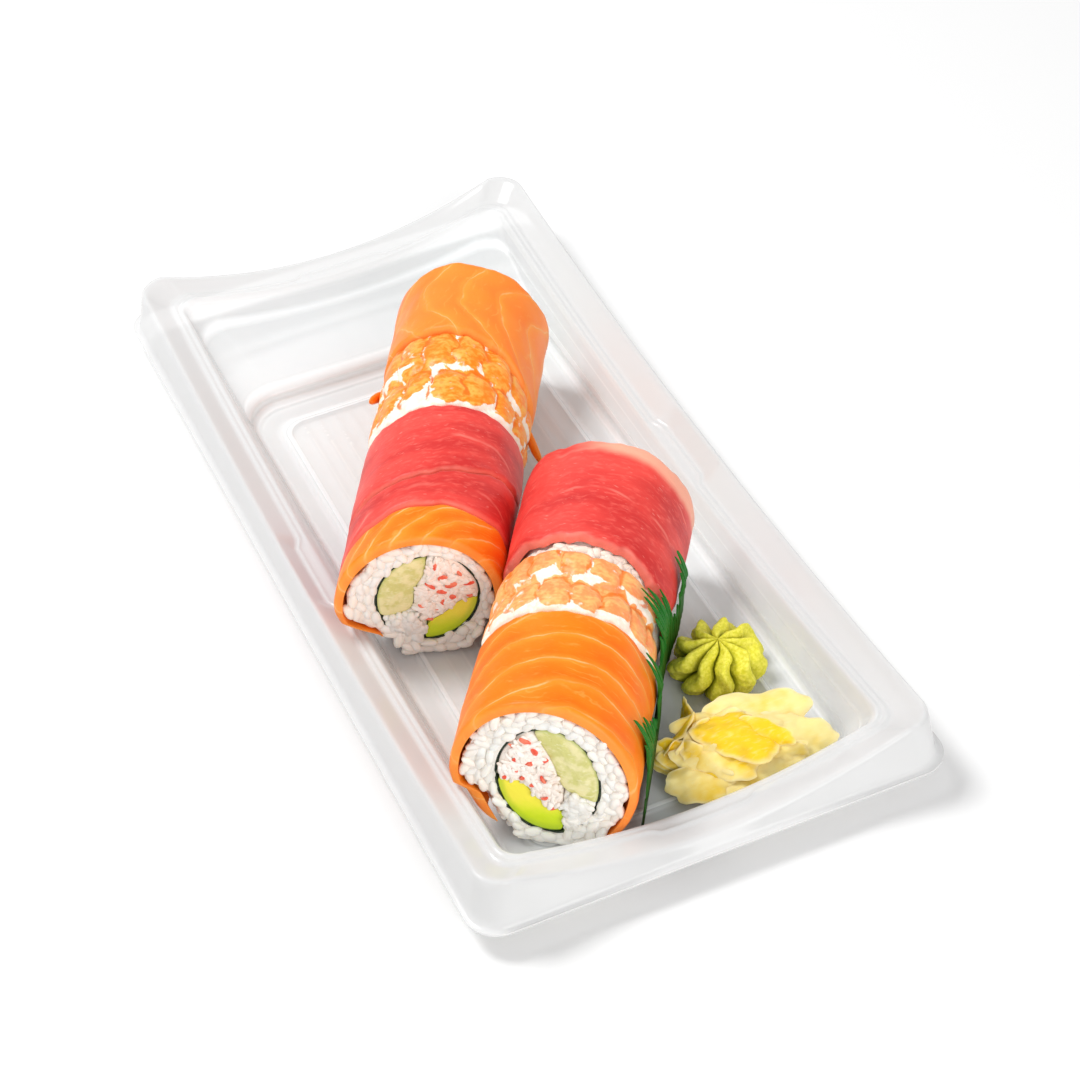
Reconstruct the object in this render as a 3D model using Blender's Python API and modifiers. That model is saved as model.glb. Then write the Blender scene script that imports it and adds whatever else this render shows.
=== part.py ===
"""Takeaway sushi tray: a clear tray with two rows of filled rolls draped with fish and prawn,
pickled ginger, a rosette of green paste and a serrated green divider leaf.

Frame: X across the tray, Y along it towards the back, Z up. The origin is at the middle of the
tray's base. Units are metres. Each roll is modelled in its own frame: x across the roll, y along
it from front to back, z up from the tray floor.
"""
import math
import random

import bmesh
import bpy
from mathutils import Matrix, Vector

MM = 0.001

# Gaps kept between touching pieces, and between the rice and the slices bent over it
GAP = 0.3 * MM
UNDER = 0.5 * MM

# Tray: outline at the flange, and heights above the table
TRAY_WIDTH = 130 * MM
TRAY_LENGTH = 268 * MM
SHEET = 0.6 * MM
FLANGE_Z = 7.8 * MM
CREST_CORNER_Z = 21.5 * MM
CREST_LONG_SIDE_Z = 15.1 * MM
CREST_SHORT_SIDE_Z = 11.1 * MM
RIDGE_CORNER_Z = 17.0 * MM
RIDGE_LONG_SIDE_Z = 9.8 * MM
RIDGE_SHORT_SIDE_Z = 10.2 * MM
BEAD_HEIGHT = 0.8 * MM
STEP_Z = 4.9 * MM
FLOOR_Z = SHEET
PANEL_Z = 1.3 * MM
NOTCH_HALF = 12 * MM
NOTCH_RAMP = 2.5 * MM
NOTCH_SHIFT = 1.6 * MM
CORNER_STEPS = 5
SIDE_STEPS = 2

# Food stands on the raised panel of the tray's floor
FOOD_Z = PANEL_Z + GAP

# Rolls: where the axis crosses the tray's cross line, its heading from +Y, and the section sizes.
# Each station gives a place along the roll in mm, how far the roll wanders to the right there,
# its half width and how much taller it is. The rice has a row of points at each place in "rows".
FISH = 2.6 * MM
NORI = 0.5 * MM
LEFT_ROLL = {
    "name": "left", "x": -18.6 * MM, "heading": 30.6, "front": -37.6 * MM, "back": 77.0 * MM,
    "half_height": 20.2 * MM, "sink": 2.2 * MM, "foot_shift": 1.6 * MM, "lean": 0.02, "skew": 0.25,
    "stations": [(-45, 0.6, 18.9, 0.2), (-10, 0.2, 19.1, 0.0), (30, 0.1, 18.8, -0.3), (78, 0.4, 19.2, 0.7)],
    "rows": [-28, -10, 30],
    "core_half_width": 13.8 * MM, "core_half_height": 15.2 * MM, "core_shift": 2.7 * MM,
    "core_lift": 1.1 * MM, "seed": 3,
}
RIGHT_ROLL = {
    "name": "right", "x": 37.4 * MM, "heading": 34.0, "front": -127.0 * MM, "back": -27.5 * MM,
    "half_height": 21.4 * MM, "sink": 2.4 * MM, "foot_shift": 0.6 * MM, "lean": 0.14, "skew": -0.05,
    "stations": [(-130, -0.8, 20.9, 0.2), (-94, -0.8, 20.2, 0.0), (-86, -1.3, 19.4, 0.0), (-68, -1.2, 19.2, -0.2),
                 (-60, 0.0, 20.0, 0.0), (-25, 0.5, 20.6, 0.4)],
    "rows": [-112, -94, -86, -68, -60],
    "core_half_width": 13.6 * MM, "core_half_height": 16.5 * MM, "core_shift": 0.2 * MM,
    "core_lift": 0.3 * MM, "seed": 8,
}

# Edges across the rolls: place along the roll in mm, skew, and bend per mm
LEFT_END = (77.4, -0.04, 0.0)
LEFT_SALMON_PRAWN = (48.0, -0.22, -0.010)
LEFT_PRAWN_TUNA = (16.6, 0.17, 0.0)
LEFT_TUNA_SEAM = (-11.2, 0.45, 0.008)
LEFT_TUNA_SALMON = (-23.6, 0.38, -0.0074)
RIGHT_END = (-27.0, -0.04, 0.0)
RIGHT_TUNA_EDGE = (-64.4, -0.06, 0.0)
RIGHT_PRAWN_EDGE = (-68.4, -0.02, 0.0)
RIGHT_PRAWN_SALMON = (-90.6, 0.03, 0.0)

# Slices over each roll: their two edges (none where the slice ends at the roll's cut front),
# and the angles where the slice ends on the right and on the left, from the horizontal
SLICES = [
    {"name": "salmon_left_back", "roll": LEFT_ROLL, "front": LEFT_SALMON_PRAWN, "back": LEFT_END,
     "right": -36, "left": 210, "kind": "salmon"},
    {"name": "prawn_left", "roll": LEFT_ROLL, "front": LEFT_PRAWN_TUNA, "back": LEFT_SALMON_PRAWN,
     "right": -32, "left": 206, "kind": "prawn"},
    {"name": "tuna_left_back", "roll": LEFT_ROLL, "front": LEFT_TUNA_SEAM, "back": LEFT_PRAWN_TUNA,
     "right": -28, "left": 212, "kind": "tuna"},
    {"name": "tuna_left_front", "roll": LEFT_ROLL, "front": LEFT_TUNA_SALMON, "back": LEFT_TUNA_SEAM,
     "right": -26, "left": 210, "kind": "tuna"},
    {"name": "salmon_left_front", "roll": LEFT_ROLL, "front": None, "back": LEFT_TUNA_SALMON,
     "right": -22, "left": 216, "kind": "salmon"},
    {"name": "tuna_right", "roll": RIGHT_ROLL, "front": RIGHT_TUNA_EDGE, "back": RIGHT_END,
     "right": -14, "left": 208, "kind": "tuna"},
    {"name": "prawn_right", "roll": RIGHT_ROLL, "front": RIGHT_PRAWN_SALMON, "back": RIGHT_PRAWN_EDGE,
     "right": -28, "left": 206, "kind": "prawn"},
    {"name": "salmon_right", "roll": RIGHT_ROLL, "front": None, "back": RIGHT_PRAWN_SALMON,
     "right": -42, "left": 218, "kind": "salmon"},
]
SLICE_COLUMNS = 17
FISH_ALONG = (0.0, 0.1, 0.5, 0.9, 1.0)
PRAWN_ALONG = (0.0, 0.1, 0.3, 0.5, 0.7, 0.9, 1.0)

# Ends of the prawn's tail that stick out beside the left row: from, to, and half thickness, in mm
TAIL_TIPS = [((21.3, 34.0, 15.5), (24.3, 29.0, 11.5), 1.9), ((-21.2, 45.0, 18.5), (-23.2, 38.0, 22.5), 1.6)]

# Rice grains fused on the cut faces
GRAIN_LENGTH = 5.4 * MM
GRAIN_THICKNESS = 2.7 * MM
FRONT_GRAINS = 24
BACK_GRAINS = 9

# Where the fillings meet, in a circle of radius 1 seen from the roll's front
LEFT_MEET = {"upper": (-0.30, -0.20), "lower": (-0.05, -0.60)}
RIGHT_MEET = {"upper": (0.28, -0.14), "lower": (0.32, -0.60)}
FILLINGS = [
    {"name": "cucumber_left", "roll": LEFT_ROLL, "arc": (88, 198), "kind": "cucumber",
     "inside": [(-0.60, -0.32), LEFT_MEET["upper"], (-0.25, 0.25), (0.0, 0.62)]},
    {"name": "inner_rice_left", "roll": LEFT_ROLL, "arc": (198, 262), "kind": "rice",
     "inside": [LEFT_MEET["lower"], LEFT_MEET["upper"], (-0.60, -0.32)]},
    {"name": "avocado_left", "roll": LEFT_ROLL, "arc": (262, 354), "kind": "avocado",
     "inside": [(0.60, -0.16), (0.32, -0.42), LEFT_MEET["lower"]]},
    {"name": "crab_left", "roll": LEFT_ROLL, "arc": (-6, 88), "kind": "crab",
     "inside": [(0.0, 0.62), (-0.25, 0.25), LEFT_MEET["upper"], LEFT_MEET["lower"],
                (0.32, -0.42), (0.60, -0.16)]},
    {"name": "cucumber_right", "roll": RIGHT_ROLL, "arc": (-18, 107), "kind": "cucumber",
     "inside": [(0.10, 0.40), RIGHT_MEET["upper"], (0.85, -0.30)]},
    {"name": "crab_right", "roll": RIGHT_ROLL, "arc": (107, 182), "kind": "crab",
     "inside": [(-0.50, -0.07), (-0.17, -0.42), RIGHT_MEET["lower"], RIGHT_MEET["upper"],
                (0.10, 0.40)]},
    {"name": "avocado_right", "roll": RIGHT_ROLL, "arc": (182, 285), "kind": "avocado",
     "inside": [(0.30, -0.80), RIGHT_MEET["lower"], (-0.17, -0.42), (-0.50, -0.07)]},
    {"name": "inner_rice_right", "roll": RIGHT_ROLL, "arc": (285, 342), "kind": "rice",
     "inside": [(0.85, -0.30), RIGHT_MEET["upper"], RIGHT_MEET["lower"], (0.30, -0.80)]},
]

# Rosette of green paste
PASTE = {"x": 29.2 * MM, "y": -73.6 * MM, "radius": 12.3 * MM, "height": 12.6 * MM, "lobes": 9}

# Pickled ginger: middle of the pile, and its slices as centre, two half axes, dome and ruffle in mm
GINGER = {"x": 17.0 * MM, "y": -103.0 * MM}
GINGER_SHEET = 1.2
GINGER_SLICES = [
    {"at": (23.5, -99.5, 10.4), "along": (15, -7, 0.6), "across": (3, 7, 3.2), "dome": 0.8, "ruffle": 1.0},
    {"at": (28.5, -107.8, 6.4), "along": (14, -0.5, 2.8), "across": (2.4, -6, 0.8), "dome": 0.9, "ruffle": 0.7},
    {"at": (19, -104.5, 10.2), "along": (9, -7.2, -0.8), "across": (4.5, 5.8, 1.2), "dome": 2.4, "ruffle": 0.5},
    {"at": (8, -106.2, 6.8), "along": (7.6, -4.0, 0.6), "across": (-2.4, -5.2, -1.6), "dome": 1.3, "ruffle": 0.8},
    {"at": (4.4, -100.0, 7.2), "along": (4.4, 5.0, 0.8), "across": (1.8, -1.4, 3.8), "dome": 2.2, "ruffle": 0.5},
    {"at": (7, -110.0, 3.8), "along": (10, -1.6, 0.2), "across": (-1.2, -4.8, -0.2), "dome": 1.2, "ruffle": 0.6},
    {"at": (12.2, -92.2, 7.4), "along": (3.6, 6.6, 1.0), "across": (0.4, -0.6, 4.0), "dome": 0.6, "ruffle": 0.3},
]

# Divider leaf standing along the right row: place along the row and height of its upper edge, in mm
LEAF_EDGE = [
    (-123.8, 5), (-122.2, 13), (-119.5, 22), (-117.8, 29.5), (-116, 37), (-114.2, 26), (-112.2, 34),
    (-110.4, 23), (-108, 28), (-104, 15), (-98, 19), (-96.4, 27.5), (-94.5, 36.5), (-93.2, 29), (-91.5, 20),
    (-84, 23), (-78.5, 31), (-75.8, 39.5), (-74.2, 30), (-72.6, 38), (-71, 27), (-69, 33.5), (-66.5, 18),
    (-60.5, 22), (-54.5, 33), (-53.4, 26), (-52.6, 22),
]
LEAF_FOOT = [(-123.8, 2.2), (-104, 2.2), (-66, 4), (-52.6, 20)]
LEAF_SHEET = 0.45 * MM
LEAF_ROWS = 6

COLOURS = {
    "clear_plastic": ((0.90, 0.92, 0.93), 0.12),
    "rice": ((0.86, 0.82, 0.76), 0.45),
    "nori": ((0.02, 0.03, 0.02), 0.55),
    "salmon": ((0.92, 0.28, 0.05), 0.32),
    "tuna": ((0.72, 0.06, 0.07), 0.32),
    "prawn": ((0.94, 0.50, 0.24), 0.35),
    "crab": ((0.92, 0.84, 0.78), 0.5),
    "cucumber": ((0.58, 0.62, 0.28), 0.35),
    "avocado": ((0.72, 0.66, 0.08), 0.4),
    "green_paste": ((0.48, 0.52, 0.08), 0.6),
    "ginger": ((0.92, 0.74, 0.30), 0.35),
    "leaf": ((0.02, 0.20, 0.05), 0.35),
}


def clear_scene():
    for obj in list(bpy.data.objects):
        bpy.data.objects.remove(obj, do_unlink=True)


def make_collection(name):
    collection = bpy.data.collections.new(name)
    bpy.context.scene.collection.children.link(collection)
    return collection


def make_material(kind):
    """A Principled material with the finish's colour and roughness, made once."""
    name = kind + "_finish"
    if name in bpy.data.materials:
        return bpy.data.materials[name]
    colour, roughness = COLOURS[kind]
    material = bpy.data.materials.new(name)
    material.use_nodes = True
    shader = material.node_tree.nodes["Principled BSDF"]
    shader.inputs["Base Color"].default_value = (*colour, 1.0)
    shader.inputs["Roughness"].default_value = roughness
    shader.inputs["Metallic"].default_value = 0.0
    return material


def add_object(name, mesh_builder, kind, collection):
    """Turn a bmesh into a smooth-shaded object in the collection."""
    bmesh.ops.recalc_face_normals(mesh_builder, faces=mesh_builder.faces)
    mesh = bpy.data.meshes.new(name)
    mesh_builder.to_mesh(mesh)
    mesh_builder.free()
    mesh.shade_smooth()
    mesh.set_sharp_from_angle(angle=math.radians(40))
    obj = bpy.data.objects.new(name, mesh)
    obj.data.materials.append(make_material(kind))
    collection.objects.link(obj)
    return obj


def bridge_loops(builder, lower, upper, closed=True):
    """Quads between two loops of equal length."""
    count = len(lower)
    for index in range(count if closed else count - 1):
        after = (index + 1) % count
        builder.faces.new((lower[index], lower[after], upper[after], upper[index]))


# Tray

def tray_stations(half_run):
    """Places along one side, from end to end, with fixed ones at the notch's ramps."""
    notch = [NOTCH_HALF, NOTCH_HALF + NOTCH_RAMP]
    outer = [notch[1] + (half_run - notch[1]) * step / SIDE_STEPS for step in range(1, SIDE_STEPS)]
    right = [0.0] + notch + outer
    return sorted({-value for value in right} | set(right))


def tray_ring(ring):
    """One loop of the tray: a rounded rectangle whose height sags between the corners."""
    half_x = ring["x"]
    radius = ring["radius"]
    corner_z, long_z, short_z = ring["z"]
    shift = ring.get("notch", 0.0)
    points = []

    def side(along, half_run, sag_z, place):
        share = along / half_run
        z = sag_z + (corner_z - sag_z) * share * share
        bump = shift if abs(along) <= NOTCH_HALF + 0.5 * NOTCH_RAMP else 0.0
        points.append(place(along, bump) + (z,))

    def corner(centre_x, centre_y, start):
        for step in range(CORNER_STEPS + 1):
            angle = math.radians(start + 90 * step / CORNER_STEPS)
            x = centre_x + radius * math.cos(angle)
            y = centre_y + radius * math.sin(angle)
            points.append((x, y, corner_z))

    front, back = -ring["front"], ring["back"]
    middle = 0.5 * (front + back)
    run_y = 0.5 * (back - front) - radius
    run_x = half_x - radius
    for along in tray_stations(run_y):
        side(along, run_y, long_z, lambda s, bump: (half_x + bump, middle + s))
    corner(half_x - radius, back - radius, 0)
    for along in reversed(tray_stations(run_x)):
        side(along, run_x, short_z, lambda s, bump: (s, back + bump))
    corner(-half_x + radius, back - radius, 90)
    for along in reversed(tray_stations(run_y)):
        side(along, run_y, long_z, lambda s, bump: (-half_x - bump, middle + s))
    corner(-half_x + radius, front + radius, 180)
    for along in tray_stations(run_x):
        side(along, run_x, short_z, lambda s, bump: (s, front - bump))
    corner(half_x - radius, front + radius, 270)
    return points


def tray_rings():
    """The tray's section from the flange's edge inwards and down to the floor panel."""
    half_x = 0.5 * TRAY_WIDTH
    half_y = 0.5 * TRAY_LENGTH
    crest = (CREST_CORNER_Z, CREST_LONG_SIDE_Z, CREST_SHORT_SIDE_Z)
    ridge = (RIDGE_CORNER_Z, RIDGE_LONG_SIDE_Z, RIDGE_SHORT_SIDE_Z)

    def even(inset, radius, z, lift=0.0, notch=0.0):
        inset *= MM
        return {"x": half_x - inset, "front": half_y - inset, "back": half_y - inset, "radius": radius * MM,
                "z": tuple(value + lift for value in z), "notch": notch}

    def well(x, front, back, radius, z):
        return {"x": x * MM, "front": front * MM, "back": back * MM, "radius": radius * MM, "z": z}

    flat = (FLANGE_Z,) * 3
    return [
        even(0.0, 8.6, flat),
        even(1.6, 8.0, flat),
        even(3.5, 7.8, crest, lift=-0.5 * MM),
        even(4.3, 7.6, crest),
        even(10.6, 6.4, ridge, notch=NOTCH_SHIFT),
        even(11.4, 6.2, ridge, lift=BEAD_HEIGHT, notch=NOTCH_SHIFT),
        even(12.2, 6.0, ridge, notch=NOTCH_SHIFT),
        even(13.1, 5.8, ridge, lift=BEAD_HEIGHT - 0.1 * MM),
        even(14.0, 5.6, ridge, lift=-0.2 * MM),
        well(49.3, 118.6, 113.0, 8.0, (11.2 * MM, 7.5 * MM, 7.3 * MM)),
        well(47.4, 117.0, 84.0, 11.0, (STEP_Z,) * 3),
        well(46.4, 115.8, 82.0, 10.0, (FLOOR_Z,) * 3),
        well(39.0, 109.0, 73.0, 6.0, (FLOOR_Z,) * 3),
        well(38.2, 108.2, 72.2, 5.6, (PANEL_Z,) * 3),
    ]


def build_tray(collection):
    """One sheet from the flange to the floor, thickened downwards."""
    builder = bmesh.new()
    loops = []
    for ring in tray_rings():
        loops.append([builder.verts.new(point) for point in tray_ring(ring)])
    for outer, inner in zip(loops, loops[1:]):
        bridge_loops(builder, outer, inner)
    builder.faces.new(loops[-1])
    tray = add_object("tray", builder, "clear_plastic", collection)
    mesh = tray.data
    if mesh.polygons[len(mesh.polygons) - 1].normal.z < 0:
        mesh.flip_normals()
    solid = tray.modifiers.new("Sheet", "SOLIDIFY")
    solid.thickness = SHEET
    solid.offset = -1.0
    return tray


# Rolls

def between(table, place, column):
    """Read a column of a table at a place along the roll, on straight lines between its rows."""
    if place <= table[0][0]:
        return table[0][column]
    for before, after in zip(table, table[1:]):
        if place <= after[0]:
            share = (place - before[0]) / (after[0] - before[0])
            return before[column] + (after[column] - before[column]) * share
    return table[-1][column]


def wall_half_width(height, y):
    """Half the clear width between the tray's side walls at a height above the table."""
    rise = (y / (118 * MM)) ** 2
    low = (7.5 + 3.7 * rise) * MM
    high = (9.6 + 7.2 * rise) * MM
    if height < STEP_Z:
        return 46.1 * MM + 0.25 * height
    if height < low:
        return 47.3 * MM + 1.8 * MM * (height - STEP_Z) / (low - STEP_Z)
    if height < high + 1.2 * MM:
        return 49.1 * MM + 1.5 * MM * (height - low) / (high + 1.2 * MM - low)
    return 50.6 * MM + 1.7 * (height - high - 1.2 * MM)


def press_to_wall(roll, x, y, z, spare):
    """Push a point of the roll back where it would come into the tray's left wall."""
    heading = math.radians(roll["heading"])
    across = roll["x"] + y * math.sin(heading) + x * math.cos(heading)
    lengthwise = y * math.cos(heading) - x * math.sin(heading)
    limit = -wall_half_width(z + FOOD_Z, lengthwise) + 0.4 * MM + spare
    return x + max(0.0, limit - across) / math.cos(heading)


def roll_section(roll, angle, offset, y):
    """A point of the roll's outer section at an angle from the horizontal, set out by an offset."""
    shift, half_width, taller = (between(roll["stations"], y / MM, column) * MM for column in (1, 2, 3))
    centre = roll["half_height"] - roll["sink"]
    z = max(centre + (roll["half_height"] + taller + offset) * math.sin(angle), 0.0)
    below = max(0.0, 1 - z / centre)
    x = (half_width + offset) * math.cos(angle) * (1 - 0.10 * below) + shift + roll["foot_shift"] * below
    spare = FISH + UNDER - offset + (1.4 * MM if offset <= 0 else 0.0)
    return press_to_wall(roll, x, y, z, spare), z


def front_plane(roll, x, z):
    """Where the roll's cut front lies at a place of the section."""
    return roll["front"] + roll["skew"] * x - roll["lean"] * (roll["half_height"] - z)


def back_plane(roll, x, z):
    return roll["back"] - 0.04 * x


def rice_point(roll, angle, row, bump):
    """A point on the outside of the rice: on its front face, at a station, or on its back face."""
    if row == 0:
        x, z = roll_section(roll, angle, 0.0, roll["front"])
        y = front_plane(roll, x, z) + bump
    elif row == len(roll["rows"]) + 1:
        x, z = roll_section(roll, angle, 0.0, roll["back"])
        y = back_plane(roll, x, z) - bump
    else:
        y = roll["rows"][row - 1] * MM
    x, z = roll_section(roll, angle, 0.0, y)
    return x, y, z


def core_point(roll, angle, inset):
    """A point on the round core at an angle, drawn in by an inset."""
    centre = roll["half_height"] - roll["sink"] + roll["core_lift"]
    x = roll["core_shift"] + (roll["core_half_width"] - inset) * math.cos(angle)
    z = centre + (roll["core_half_height"] - inset) * math.sin(angle)
    return x, z


def core_tube_point(roll, angle, inset, share, bump):
    x, z = core_point(roll, angle, inset)
    front = front_plane(roll, x, z) + bump
    return x, front + (back_plane(roll, x, z) - bump - front) * share, z


def place_on_roll(obj, roll):
    obj.location = (roll["x"], 0.0, FOOD_Z)
    obj.rotation_euler = (0.0, 0.0, -math.radians(roll["heading"]))
    return obj


def build_tube(outer, inner, segments, rows):
    """A closed tube between two surfaces, each given as a function of angle and row along it."""
    builder = bmesh.new()
    outer_loops = []
    inner_loops = []
    for row in range(rows + 1):
        angles = [math.tau * step / segments for step in range(segments)]
        outer_loops.append([builder.verts.new(outer(angle, row)) for angle in angles])
        inner_loops.append([builder.verts.new(inner(angle, row)) for angle in angles])
    for row in range(rows):
        bridge_loops(builder, outer_loops[row], outer_loops[row + 1])
        bridge_loops(builder, inner_loops[row + 1], inner_loops[row])
    bridge_loops(builder, inner_loops[0], outer_loops[0])
    bridge_loops(builder, outer_loops[-1], inner_loops[-1])
    return builder


def add_grain(x, y, z, direction, name, collection):
    """One rice grain: a stretched low sphere lying in the cut face."""
    builder = bmesh.new()
    bmesh.ops.create_uvsphere(builder, u_segments=6, v_segments=4, radius=0.5)
    turn = Vector((0, 0, 1)).rotation_difference(direction).to_matrix().to_4x4()
    size = Matrix.Diagonal((GRAIN_THICKNESS, GRAIN_THICKNESS, GRAIN_LENGTH, 1.0))
    bmesh.ops.transform(builder, matrix=Matrix.Translation((x, y, z)) @ turn @ size, verts=builder.verts)
    return add_object(name, builder, "rice", collection)


def scatter_grains(roll, collection):
    """Grains set round the rice ring on both cut faces, at uneven slants."""
    draw = random.Random(roll["seed"])
    for face, count in (("front", FRONT_GRAINS), ("back", BACK_GRAINS)):
        plane = front_plane if face == "front" else back_plane
        for index in range(count):
            angle = math.tau * (index + draw.uniform(-0.25, 0.25)) / count
            inset = -0.5 * GRAIN_THICKNESS - 0.5 * MM
            outer_x, outer_z = roll_section(roll, angle, inset, roll[face])
            outer_x, outer_z = roll_section(roll, angle, inset, plane(roll, outer_x, outer_z))
            inner_x, inner_z = core_point(roll, angle, -0.5 * GRAIN_THICKNESS - 0.3 * MM)
            room = (outer_x - inner_x) * math.cos(angle) + (outer_z - inner_z) * math.sin(angle)
            if room < -0.3 * MM:
                continue
            share = draw.uniform(0.1, 0.9) if room > 0 else 0.6
            x = inner_x + (outer_x - inner_x) * share
            z = max(inner_z + (outer_z - inner_z) * share, 0.5 * GRAIN_THICKNESS + 0.1 * MM)
            y = plane(roll, x, z) + draw.uniform(-0.3, 0.3) * MM
            slant = Vector((draw.uniform(-0.3, 0.3), draw.uniform(-0.35, 0.35), draw.uniform(-0.3, 0.3)))
            direction = (Vector((-math.sin(angle), 0, math.cos(angle))) + slant).normalized()
            if z < GRAIN_LENGTH * 0.6:
                direction = Vector((1, slant.y, 0)).normalized()
            add_grain(x, y, z, direction, f"grain_{roll['name']}_{face}_{index}", collection)


def fuse_collection(obj, name, build):
    """Unite an object with the pieces that build() makes in a short-lived collection."""
    pieces = make_collection(name)
    build(pieces)
    union = obj.modifiers.new("Fuse", "BOOLEAN")
    union.operation = "UNION"
    union.operand_type = "COLLECTION"
    union.collection = pieces
    union.solver = "MANIFOLD"
    bpy.context.view_layer.update()
    evaluated = obj.evaluated_get(bpy.context.evaluated_depsgraph_get())
    fused = bpy.data.meshes.new_from_object(evaluated)
    obj.modifiers.clear()
    obj.data = fused
    for piece in list(pieces.objects):
        bpy.data.objects.remove(piece, do_unlink=True)
    bpy.data.collections.remove(pieces)
    return obj


def build_rice(roll, collection):
    """The rice round the core, with grains fused on its cut faces."""
    rows = len(roll["rows"]) + 1
    builder = build_tube(
        lambda angle, row: rice_point(roll, angle, row, 0.9 * MM),
        lambda angle, row: core_tube_point(roll, angle, 0.0, row / rows, 0.9 * MM), 28, rows)
    rice = add_object("rice_" + roll["name"], builder, "rice", collection)
    fuse_collection(rice, "grains", lambda pieces: scatter_grains(roll, pieces))
    return place_on_roll(rice, roll)


def build_nori(roll, collection):
    """The thin sheet of seaweed round the fillings."""
    builder = build_tube(
        lambda angle, row: core_tube_point(roll, angle, GAP, row, 0.5 * MM),
        lambda angle, row: core_tube_point(roll, angle, GAP + NORI, row, 0.5 * MM), 28, 1)
    nori = add_object("nori_" + roll["name"], builder, "nori", collection)
    return place_on_roll(nori, roll)


def inset_outline(points, amount):
    """Draw a closed outline in by moving each edge inwards, corners by their mitre."""
    result = []
    count = len(points)
    for index in range(count):
        here = Vector(points[index])
        before = (here - Vector(points[index - 1])).normalized()
        after = (Vector(points[(index + 1) % count]) - here).normalized()
        normal_before = Vector((-before.y, before.x))
        normal_after = Vector((-after.y, after.x))
        mitre = (normal_before + normal_after).normalized()
        reach = amount / max(mitre.dot(normal_after), 0.45)
        result.append(here + mitre * reach)
    return result


def filling_outline(filling):
    """Outline of one filling in the roll's section, clear of its neighbours and of the seaweed."""
    roll = filling["roll"]
    start, end = filling["arc"]
    steps = max(4, round((end - start) / 14))
    inset = 2 * GAP + NORI
    centre_x, centre_z = roll["core_shift"], roll["half_height"] - roll["sink"] + roll["core_lift"]
    scale_x = roll["core_half_width"] - inset
    scale_z = roll["core_half_height"] - inset
    arc = [(math.cos(a), math.sin(a)) for a in
           (math.radians(start + (end - start) * step / steps) for step in range(steps + 1))]
    points = [(centre_x + x * scale_x, centre_z + z * scale_z) for x, z in arc + filling["inside"]]
    return inset_outline(points, 0.5 * GAP + 0.05 * MM)


def build_filling(filling, collection):
    """A filling running through the roll, its cut ends a little crowned."""
    roll = filling["roll"]
    outline = filling_outline(filling)
    middle = sum(outline, Vector((0.0, 0.0))) / len(outline)
    bulge = {"crab": 1.2, "rice": 0.9, "cucumber": 0.3, "avocado": 0.3}[filling["kind"]] * MM
    builder = bmesh.new()
    loops = []
    for end, shrink in (("front", 0.45), ("front", 0.85), ("front", 1.0), ("back", 1.0), ("back", 0.85),
                        ("back", 0.45)):
        loop = []
        crown = {0.45: 1.0, 0.85: 0.7, 1.0: 0.0}[shrink] * bulge
        for point in outline:
            x, z = middle + (point - middle) * shrink
            if end == "front":
                y = front_plane(roll, x, z) + 0.8 * MM - crown
            else:
                y = back_plane(roll, x, z) - 0.8 * MM + crown
            loop.append(builder.verts.new((x, y, z)))
        loops.append(loop)
    for first, second in zip(loops, loops[1:]):
        bridge_loops(builder, first, second)
    builder.faces.new(list(reversed(loops[0])))
    builder.faces.new(loops[-1])
    bmesh.ops.triangulate(builder, faces=[face for face in builder.faces if len(face.verts) > 4])
    solid = add_object(filling["name"], builder, filling["kind"], collection)
    return place_on_roll(solid, roll)


# Slices draped over the rolls

def slice_thickness(kind, along, across, seed):
    """Thickness of a slice: thinner at its edges, lobed on a prawn."""
    edge = min(along, 1 - along)
    end = min(across, 1 - across)
    rounding = min(1.0, 0.55 + 4.5 * edge) * min(1.0, 0.4 + 6.0 * end)
    if kind == "prawn":
        lobes = abs(math.sin(math.pi * (5.5 * across + 0.6 * abs(along - 0.5))))
        groove = 1 - 0.45 * math.exp(-((along - 0.5) / 0.09) ** 2)
        return FISH * rounding * (0.62 + 0.38 * lobes) * groove
    wave = 0.05 * math.sin(9 * across + seed) + 0.04 * math.sin(7 * along + 5 * across)
    return FISH * rounding * (0.91 + wave)


def edge_place(cut, edge, angle, side):
    """Where a slice's edge lies along the roll at an angle round it."""
    roll = cut["roll"]
    if cut[edge] is None:
        x, z = roll_section(roll, angle, UNDER, roll["front"])
        return front_plane(roll, x, z) - 0.4 * MM
    place, skew, bend = cut[edge]
    x = 20 * math.cos(angle)
    wave = 0.5 * math.sin(3.1 * angle + place)
    return (place + skew * x + bend * x * x + wave) * MM + side * 0.5 * GAP


def add_tails(prawn, collection):
    """Fuse the pointed tail ends on a prawn."""
    def tails(pieces):
        for index, (start, end, half) in enumerate(TAIL_TIPS):
            reach = Vector(end) - Vector(start)
            builder = bmesh.new()
            bmesh.ops.create_uvsphere(builder, u_segments=8, v_segments=6, radius=1.0)
            size = Matrix.Diagonal((0.6 * half * MM, half * MM, 0.75 * reach.length * MM, 1.0))
            turn = Vector((0, 0, 1)).rotation_difference(reach).to_matrix().to_4x4()
            middle = Matrix.Translation((Vector(start) + Vector(end)) * 0.5 * MM)
            bmesh.ops.transform(builder, matrix=middle @ turn @ size, verts=builder.verts)
            add_object(f"tail_{index}", builder, "prawn", pieces)
    return fuse_collection(prawn, "tails", tails)


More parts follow.
